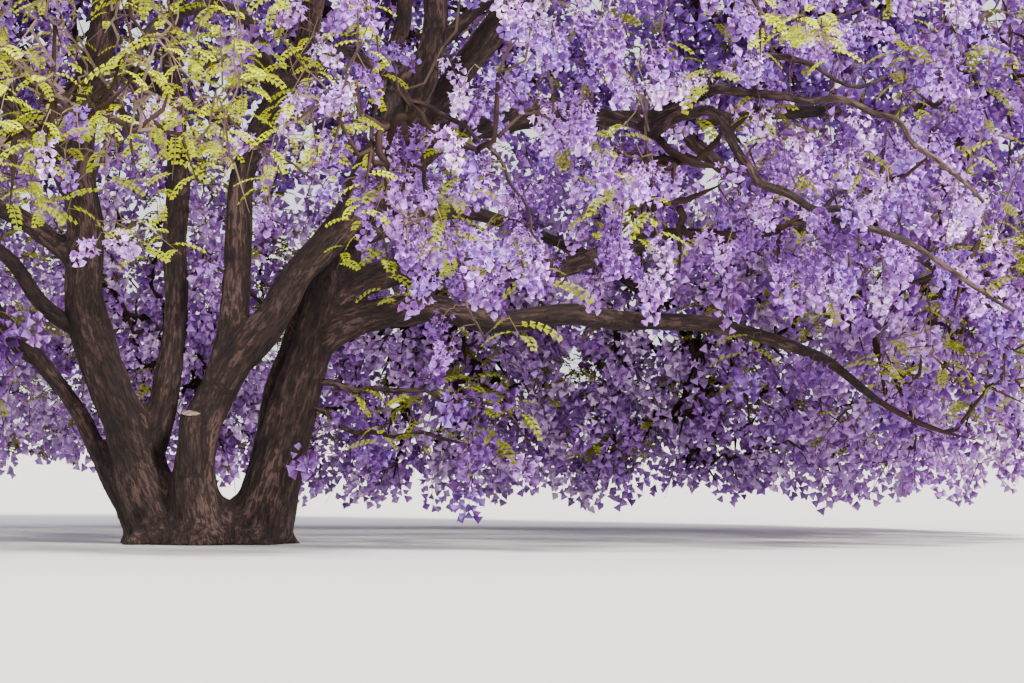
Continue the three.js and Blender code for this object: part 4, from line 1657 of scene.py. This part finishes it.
@dataclass
class BlossomWork:
    """Panicles of nodding trumpet flowers, dealt out by panicle in several violets."""

    near_side: float = -2.4
    near_counts: tuple[int, int] = (9, 13)
    far_counts: tuple[int, int] = (1, 14)
    mouth_sides: int = 5
    bell_sides: tuple[int, int] = (5, 3)
    sizes: tuple[float, float] = (0.78, 1.24)
    size_spread: Ramp = (0.8, 0.45)
    flower_length: float = 0.06
    throat_radius: float = 0.016
    throat_ahead: float = 0.7
    lobe_radius: float = 0.038
    bell_radius: float = 0.031
    bell_ahead: float = 0.8
    tube_bells: int = 3
    mouth_spread: Ramp = (0.88, 0.24)
    stalk_reach: float = 0.046
    stalk_spread: Ramp = (0.5, 1.0)
    axis_share: Ramp = (0.02, 1.02)
    axis_wobble: float = 0.08
    turn_wobble: float = 0.6
    cone: float = 0.6
    nod_along: float = 0.3
    nod_down: Ramp = (0.1, 0.5)
    axis_start: float = 0.2
    side_shares: tuple[float, float] = (0.4, 0.24)
    side_points: tuple[int, int] = (2, 5)
    side_flat: float = 0.4
    side_length: float = 0.24
    shares: tuple[float, ...] = (0.14, 0.17, 0.23, 0.2, 0.14, 0.12)
    patch_size: float = 0.6
    # Weights of chance, neighbourhood, height and the LIT_BEHIND zone; height and zone paint light, giving
    # paler tints up high and low on the far side.
    score_weights: tuple[float, float, float, float] = (0.75, 0.5, 0.02, 0.75)

    def axes(self, plan: TwigPlan) -> tuple[np.ndarray, np.ndarray]:
        """Where the panicles' axes run: one at each twig's end, and more from the sides of twigs.

        Args:
            plan: The twigs.

        Returns:
            Where each axis starts, and where it ends.
        """
        rng = np.random.default_rng(SEEDS.axis)
        paths = plan.paths[plan.kinds == SprayKind.BLOSSOM.value]
        neck, tip = paths[:, -2], paths[:, -1]
        beside = paths[rng.random(len(paths)) < np.where(tip[:, 1] < self.near_side, *self.side_shares)]
        foot = beside[np.arange(len(beside)), rng.integers(*self.side_points, len(beside))]
        out = rng.normal(size=foot.shape) * [1, 1, self.side_flat] - UP
        starts = np.vstack([neck + (tip - neck) * self.axis_start, foot])
        ends = np.vstack([tip, foot + unit(out) * self.side_length])
        order = rng.permutation(len(starts))
        return starts[order], ends[order]

    def stations(self, necks: np.ndarray, tips: np.ndarray, n: int,
                 rng: np.random.Generator) -> tuple[np.ndarray, np.ndarray, np.ndarray]:
        """Where the flowers of many panicles stand, and which way they point.

        Flower i of a panicle stands at a share s of its axis, turned by i times the golden angle.
        Its calyx lies on a cone that narrows as 1 - cone s, and it points outwards and down.

        Args:
            necks: Where each panicle's axis starts.
            tips: Where it ends.
            n: How many flowers each has.
            rng: Gives the small variations.

        Returns:
            Places and ways, as (panicle, flower, 3), and sizes, as (panicle, flower).
        """
        count = len(necks)
        least, span = self.axis_share
        share = least + span * (np.arange(n) + 0.5) / n + wobble(rng, self.axis_wobble, (count, n))
        turn = np.arange(n) * GOLDEN_ANGLE + rng.random((count, 1)) * FULL_TURN
        turn = turn + wobble(rng, self.turn_wobble, (count, n))
        axis = unit(tips - necks)
        side = unit(np.cross(axis, rng.random((count, 3)) - 0.5))
        other = np.cross(axis, side)
        out = spokes(turn, side[:, None], other[:, None])
        size = self.sizes[int(n != sum(self.near_counts))]
        stalk = chance(rng, self.stalk_spread, (count, n))
        radius = self.stalk_reach * size * (1 - self.cone * share) * stalk
        place = necks[:, None] + (tips - necks)[:, None] * share[..., None] + out * radius[..., None]
        drop = UP * chance(rng, self.nod_down, (count, n, 1))
        way = unit(out + axis[:, None] * self.nod_along - drop)
        return place, way, size * chance(rng, self.size_spread, (count, n))

    def rings(self, place: np.ndarray, way: np.ndarray, size: np.ndarray, rng: np.random.Generator,
              plan: tuple[tuple[float, float, float], ...], sides: int) -> np.ndarray:
        """Flowers as an apex and rings of points: place + size (way ahead + r (cos a u + sin a v)).

        Each point's distance ahead varies by an eighth, so that no two mouths are alike.

        Args:
            place: Each flower's foot.
            way: Its axis.
            size: Its scale.
            rng: Turns each flower about its axis.
            plan: For each ring its radius, its distance ahead and its turn.
            sides: Points in each ring.

        Returns:
            Vertices, as (flower, 1 + sides times rings, 3).
        """
        u = unit(np.cross(way, rng.random(way.shape) - 0.5))
        v = np.cross(way, u)
        angle = np.arange(sides) * 2 * math.pi / sides
        parts = [place[:, None]]
        for radius, ahead, phase in plan:
            circle = spokes(angle + phase, u[:, None], v[:, None])
            reach = way[:, None] * ahead * chance(rng, self.mouth_spread, (len(place), sides, 1))
            parts.append(place[:, None] + (reach + circle * radius) * size[:, None, None])
        return np.concatenate(parts, axis=1)

    def flowers(self, necks: np.ndarray, tips: np.ndarray, counts: tuple[int, int],
                seed: int) -> tuple[np.ndarray, np.ndarray, np.ndarray]:
        """The open trumpets and the half-open bells of many panicles.

        Args:
            necks: Where each panicle's axis starts.
            tips: Where it ends.
            counts: How many trumpets and how many bells each has.
            seed: Chooses the small variations.

        Returns:
            Vertices, triangles, and slots, which are 0 on tubes and 1 on lobes and most bells.
        """
        rng = np.random.default_rng(seed)
        stations = self.stations(necks, tips, sum(counts), rng)
        first, last = ([s[:, part].reshape(-1, *s.shape[2:]) for s in stations]
                       for part in (slice(counts[0]), slice(counts[0], None)))
        length, many = self.flower_length, self.mouth_sides
        few = self.bell_sides[int(counts != self.near_counts)]
        throat = (self.throat_radius, length * self.throat_ahead, 0.0)
        mouth = (self.lobe_radius, length, math.pi / many)
        opened = self.rings(*first, rng, (throat, mouth), many)
        closed = self.rings(*last, rng, ((self.bell_radius, length * self.bell_ahead, 0.0),), few)
        i = np.arange(many)
        lobe = np.stack([1 + i, 1 + (i + 1) % many, 1 + many + i], -1)
        trumpets = repeated(np.concatenate([fan(many), lobe]), len(opened), 1 + 2 * many)
        bells = repeated(fan(few), len(closed), 1 + few) + len(opened) * (1 + 2 * many)
        bell_slots = np.repeat(np.arange(len(closed)) % self.tube_bells > 0, few).astype(int)
        slots = np.concatenate([np.tile(np.repeat([0, 1], many), len(opened)), bell_slots])
        vertices = np.vstack([opened.reshape(-1, 3), closed.reshape(-1, 3)])
        return vertices, np.vstack([trumpets, bells]), slots

    def deal(self, tips: np.ndarray, near: np.ndarray, rng: np.random.Generator) -> np.ndarray:
        """Deals out the tints by chance and neighbourhood, with painted light: a little paler higher up, and
        paler low on the far side.

        Args:
            tips: The tips of the panicles.
            near: True for those on the near side, which are ranked by themselves.
            rng: Gives the chance.

        Returns:
            The number of each panicle's tint.
        """
        by_chance, by_patch, by_height, by_light = self.score_weights
        patches = lattice_noise(tips / self.patch_size, SEEDS.tint_patch)
        score = by_chance * rng.random(len(tips)) + by_patch * patches
        # Painted light: paler tints higher up and low on the far side.
        score += by_height * tips[:, 2] + by_light * Zone.LIT_BEHIND.share(tips)
        dealt = np.zeros(len(tips), int)
        for side in (near, ~near):
            dealt[side] = dealt_out(score[side], self.shares)
        return dealt

    def build(self, plan: TwigPlan, masses: list[str]) -> None:
        """Makes the pieces of each tint, with more open flowers on the near side.

        Args:
            plan: The twigs.
            masses: The nodes that the blossom stands for.
        """
        starts, ends = self.axes(plan)
        near = ends[:, 1] < self.near_side
        dealt = self.deal(ends, near, np.random.default_rng(SEEDS.tint))
        trumpets, bells = self.near_counts
        most = MOST_TRIANGLES // (trumpets * 2 * self.mouth_sides + bells * self.bell_sides[0])
        for number, tint in enumerate(Tint):
            name = f"blossom_{tint.name.lower()}"
            tube, lobe = tint.value
            materials = [PlainFinish(f"{name}_tube", tube).build(), PlainFinish(f"{name}_lobe", lobe).build()]
            sides = (("near", near, self.near_counts), ("far", ~near, self.far_counts))
            for seed, (label, side, counts) in enumerate(sides, start=SEEDS.flower + number * 10):
                for part, own in enumerate(parts_of(np.flatnonzero((dealt == number) & side), most)):
                    mesh = self.flowers(starts[own], ends[own], counts, seed + 5 * part)
                    full_name = f"{name}_{label}_{part + 1}"
                    piece = make_piece(full_name, *mesh[:2], materials, mesh[2], smooth=True)
                    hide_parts(*masses)


class LeafTint(Enum):
    """The greens of the leaves, from older to new, and how long each leaf is."""

    OLIVE = ((0.20, 0.22, 0.01), 0.28)
    SPRING = ((0.32, 0.37, 0.003), 0.25)
    YOUNG = ((0.48, 0.53, 0.001), 0.22)


@dataclass
class LeafWork:
    """Feathery leaves: a curved stalk with pairs of narrow, folded leaflets."""

    leaves_per_tip: int = 4
    first_leaf: float = 0.4
    turn_spread: float = 0.7
    rise_most: float = 25.0
    onward: float = 0.4
    length_spread: Ramp = (0.65, 0.5)
    bend_out: float = 0.5
    bend_up: float = 0.14
    end_out: float = 0.95
    end_droop: Ramp = (0.05, 0.35)
    tilt: float = 0.9
    pairs: int = 6
    pair_span: tuple[float, float] = (0.18, 0.97)
    leaflet: float = 0.22
    leaflet_width: float = 0.15
    leaflet_way: tuple[float, float, float] = (0.85, 0.53, 0.12)
    leaflet_widest: float = 0.45
    leaflet_fold: float = 0.25
    taper: tuple[float, float, float] = (0.12, 0.76, 0.8)
    stalk_width: float = 0.006
    shares: tuple[float, ...] = (0.36, 0.32, 0.32)
    new_x: float = 1.4
    score_weights: tuple[float, float] = (0.8, 2)
    roughness: float = 0.5

    def sprays(self, necks: np.ndarray, tips: np.ndarray, size: float,
               seed: int) -> tuple[np.ndarray, np.ndarray]:
        """Leaves of many twig ends as arrays.

        They leave the end of the twig in turn, by the golden angle. A stalk is the quadratic
        through a rising bend to a drooping end.

        Args:
            necks: Where the leaves start.
            tips: The way in which their middle one runs.
            size: The length of a leaf.
            seed: Chooses the small variations.

        Returns:
            Leaflet vertices, as (leaflet, 4, 3), and stalk vertices, as (stalk, 6, 3).
        """
        rng = np.random.default_rng(seed)
        each = self.leaves_per_tip
        count = len(necks) * each
        order = np.tile(np.arange(each), len(necks))
        way = np.repeat(tips - necks, each, axis=0)
        start = np.repeat(necks, each, axis=0) + way * ((order + self.first_leaf) / each)[:, None]
        turn = order * GOLDEN_ANGLE + np.repeat(rng.random(len(necks)) * FULL_TURN, each)
        turn = turn + rng.random(count) * self.turn_spread
        out = unit(heading(np.degrees(turn), self.rise_most * rng.random(count)) + unit(way) * self.onward)
        length = size * chance(rng, self.length_spread, (count, 1))
        bend = start + out * length * self.bend_out + UP * length * self.bend_up
        end = start + out * length * self.end_out - UP * length * chance(rng, self.end_droop, (count, 1))
        tilt = UP + wobble(rng, self.tilt, (count, 1, 3))
        share = np.concatenate([[0.0, 0.5, 1.0], np.linspace(*self.pair_span, self.pairs)])
        s = share[None, :, None]
        place = bowed(start[:, None], bend[:, None], end[:, None], s)
        onward = unit(2 * (1 - s) * (bend - start)[:, None] + 2 * s * (end - bend)[:, None])
        flat = unit(np.cross(onward, tilt))
        half = flat[:, :3] * self.stalk_width / 2
        stalks = np.concatenate([place[:, :3] - half, place[:, :3] + half], axis=1)
        return self.leaflets(share[3:], place[:, 3:], onward[:, 3:], flat[:, 3:], length), stalks

    def leaflets(self, share: np.ndarray, place: np.ndarray, onward: np.ndarray, flat: np.ndarray,
                 length: np.ndarray) -> np.ndarray:
        """The leaflets of many leaves, in pairs at 58 degrees from the stalk.

        Their length follows sin(pi s) to a power along it, and all their sizes are shares of the
        leaf's length.

        Args:
            share: Where the pairs stand, as shares of the stalk.
            place: Their places, as (leaf, pair, 3).
            onward: The stalk's way there.
            flat: The way across it, in the leaf's plane.
            length: Each leaf's length.

        Returns:
            Vertices, as (leaflet, 4, 3).
        """
        lift = np.cross(flat, onward)
        first, span, power = self.taper
        size = self.leaflet * np.sin(math.pi * (first + span * share)) ** power
        size = size[None, :, None] * length[:, None]
        outwards, ahead, down = self.leaflet_way
        pairs = []
        for hand in (-1, 1):
            out = unit(flat * hand * outwards + onward * ahead - UP * down)
            edge = np.cross(out, lift)
            middle = place + out * size * self.leaflet_widest
            half = edge * self.leaflet_width * 0.5 * length[:, None]
            fold = lift * self.leaflet_width * self.leaflet_fold * length[:, None]
            corners = [place, middle - half + fold, place + out * size, middle + half + fold]
            pairs.append(np.stack(corners, axis=2))
        return np.concatenate([pair.reshape(-1, 4, 3) for pair in pairs])

    def build(self, plan: TwigPlan, masses: list[str], growth: FoliageGrowth) -> None:
        """Makes one piece of each green from the twigs that end in leaves.

        The newest green is at the near left and in the tuft.

        Args:
            plan: The twigs.
            masses: The nodes that the leaves stand for.
            growth: Knows where the tuft is.
        """
        chosen = np.flatnonzero(plan.kinds == SprayKind.LEAF.value)
        rng = np.random.default_rng(SEEDS.green)
        necks, tips = plan.paths[chosen, -2], plan.paths[chosen, -1]
        by_new, by_tuft = self.score_weights
        score = rng.random(len(chosen)) + by_new * ((tips[:, 0] < self.new_x) & (tips[:, 1] < 0))
        dealt = dealt_out(score + by_tuft * growth.tuft(tips), self.shares)
        blade = np.array([[0, 1, 2], [0, 2, 3]])
        strip = np.array([[0, 1, 4], [0, 4, 3], [1, 2, 5], [1, 5, 4]])
        for number, tint in enumerate(LeafTint):
            own = dealt == number
            colour, size = tint.value
            leaflets, stalks = self.sprays(necks[own], tips[own], size, SEEDS.leaf + number)
            vertices = np.vstack([leaflets.reshape(-1, 3), stalks.reshape(-1, 3)])
            blades, strips = repeated(blade, len(leaflets), 4), repeated(strip, len(stalks), 6)
            triangles = np.vstack([blades, strips + len(leaflets) * 4])
            name = f"leaves_{tint.name.lower()}"
            piece = make_piece(name, vertices, triangles, [PlainFinish(name, colour, self.roughness).build()])
            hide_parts(*masses)


class TwigGroup(Enum):
    """The twigs by their looks: the sides of each, the points of its path that count, its colour."""

    STOUT = (4, (0, 2, 4, 6, 7), (0.048, 0.029, 0.023))
    # Dark brown bark with painted shade in it.
    DARK = (3, (0, 3, 6, 7), (0.085, 0.056, 0.044))
    # Painted sunlight: a pale copy of the twigs' bark.
    PALE = (3, (0, 1, 2, 4, 5, 6, 7), (0.17, 0.118, 0.092))


@dataclass
class TwigWork:
    """The twigs themselves: stouter ones with more sides, fine ones in a dark brown that holds painted shade,
    and fine ones painted pale as if sunlit, more of them at the near left.
    """

    stout_radius: float = 0.0135
    # The share of fine twigs painted pale as if sunlit.
    painted_sunlit_share: float = 0.15
    roughness: float = 0.8

    def build(self, plan: TwigPlan, masses: list[str]) -> None:
        """Makes the pieces of stout twigs, fine dark twigs with painted shade, and fine twigs painted pale as
        if sunlit.

        Args:
            plan: The twigs.
            masses: The nodes that they stand for.
        """
        stout = plan.radii[:, 0] > self.stout_radius
        # Painted sunlight: some fine twigs at random, and more at the near left, take the pale colour.
        light = self.painted_sunlit_share + Zone.NEW_TWIGS.share(plan.paths[:, 0])
        pale = ~stout & (np.random.default_rng(SEEDS.pale).random(len(stout)) < light)
        for group, chosen in zip(TwigGroup, (stout, ~stout & ~pale, pale)):
            name = f"{group.name.lower()}_twigs"
            sides, points, colour = group.value
            pick = np.ix_(np.flatnonzero(chosen), points)
            vertices, triangles = tubes(plan.paths[pick], plan.radii[pick], sides)
            finish = PlainFinish(name, colour, self.roughness)
            piece = make_piece(name, vertices, triangles, [finish.build()], smooth=sides > 3)
            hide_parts(*masses)


@dataclass
class Studio:
    """The pale floor, the soft light and the camera at the photograph's viewing angle."""

    camera_place: tuple[float, float, float] = VIEWER
    camera_pitch: float = 1.3
    lens: float = 135.0
    sensor: float = 36.0
    farthest: float = 400.0
    floor_half: float = 260.0
    floor_level: float = -0.002
    floor_colour: Colour = (0.72, 0.71, 0.69)
    floor_roughness: float = 0.9
    sun_strength: float = 10.5
    sun_spread: float = 8.0
    sun_colour: Colour = (1.0, 0.95, 0.86)
    sun_turn: tuple[float, float, float] = (0.55, 0.75, 0.0)
    sky_strength: float = 1.5
    sky_colour: Colour = (0.93, 0.94, 1.0)

    def build(self) -> None:
        """Makes the camera, the floor, the sky and the sun."""
        scene = bpy.context.scene
        camera = bpy.data.objects.new("camera", bpy.data.cameras.new("camera"))
        camera.data.lens, camera.data.sensor_width = self.lens, self.sensor
        camera.data.clip_end = self.farthest
        camera.location = self.camera_place
        camera.rotation_euler = (math.radians(90 + self.camera_pitch), 0, 0)
        scene.collection.objects.link(camera)
        scene.camera = camera
        h, z = self.floor_half, self.floor_level
        mesh = bpy.data.meshes.new("floor")
        mesh.from_pydata([(-h, -h, z), (h, -h, z), (h, h, z), (-h, h, z)], [], [(0, 1, 2, 3)])
        mesh.materials.append(PlainFinish("floor", self.floor_colour, self.floor_roughness).build())
        floor = bpy.data.objects.new("floor", mesh)
        scene.collection.objects.link(floor)
        world = bpy.data.worlds.new("sky")
        world.use_nodes = True
        background = world.node_tree.nodes["Background"]
        background.inputs["Color"].default_value = (*self.sky_colour, 1.0)
        background.inputs["Strength"].default_value = self.sky_strength
        scene.world = world
        sun = bpy.data.lights.new("sun", "SUN")
        sun.energy, sun.angle = self.sun_strength, math.radians(self.sun_spread)
        sun.color = self.sun_colour
        lamp = bpy.data.objects.new("sun", sun)
        lamp.rotation_euler = self.sun_turn
        scene.collection.objects.link(lamp)


def main() -> None:
    """Builds the studio, the limbs, the twigs, the blossom and the leaves, in that order."""
    logging.basicConfig(level=logging.INFO, format="%(message)s")
    Studio().build()
    crown = CrownShape()
    skeleton = Skeleton(crown)
    skeleton.grow()
    BarkWork(skeleton).build()
    masses = sorted(name for name in frame["nodes"] if name.startswith("foliage_"))
    growth = FoliageGrowth(skeleton)
    plan = growth.grow()
    LOG.info("twigs with blossom, leaves and nothing: %s", np.bincount(plan.kinds))
    TwigWork().build(plan, masses)
    BlossomWork().build(plan, masses)
    LeafWork().build(plan, masses, growth)


if __name__ == "__main__":
    main()
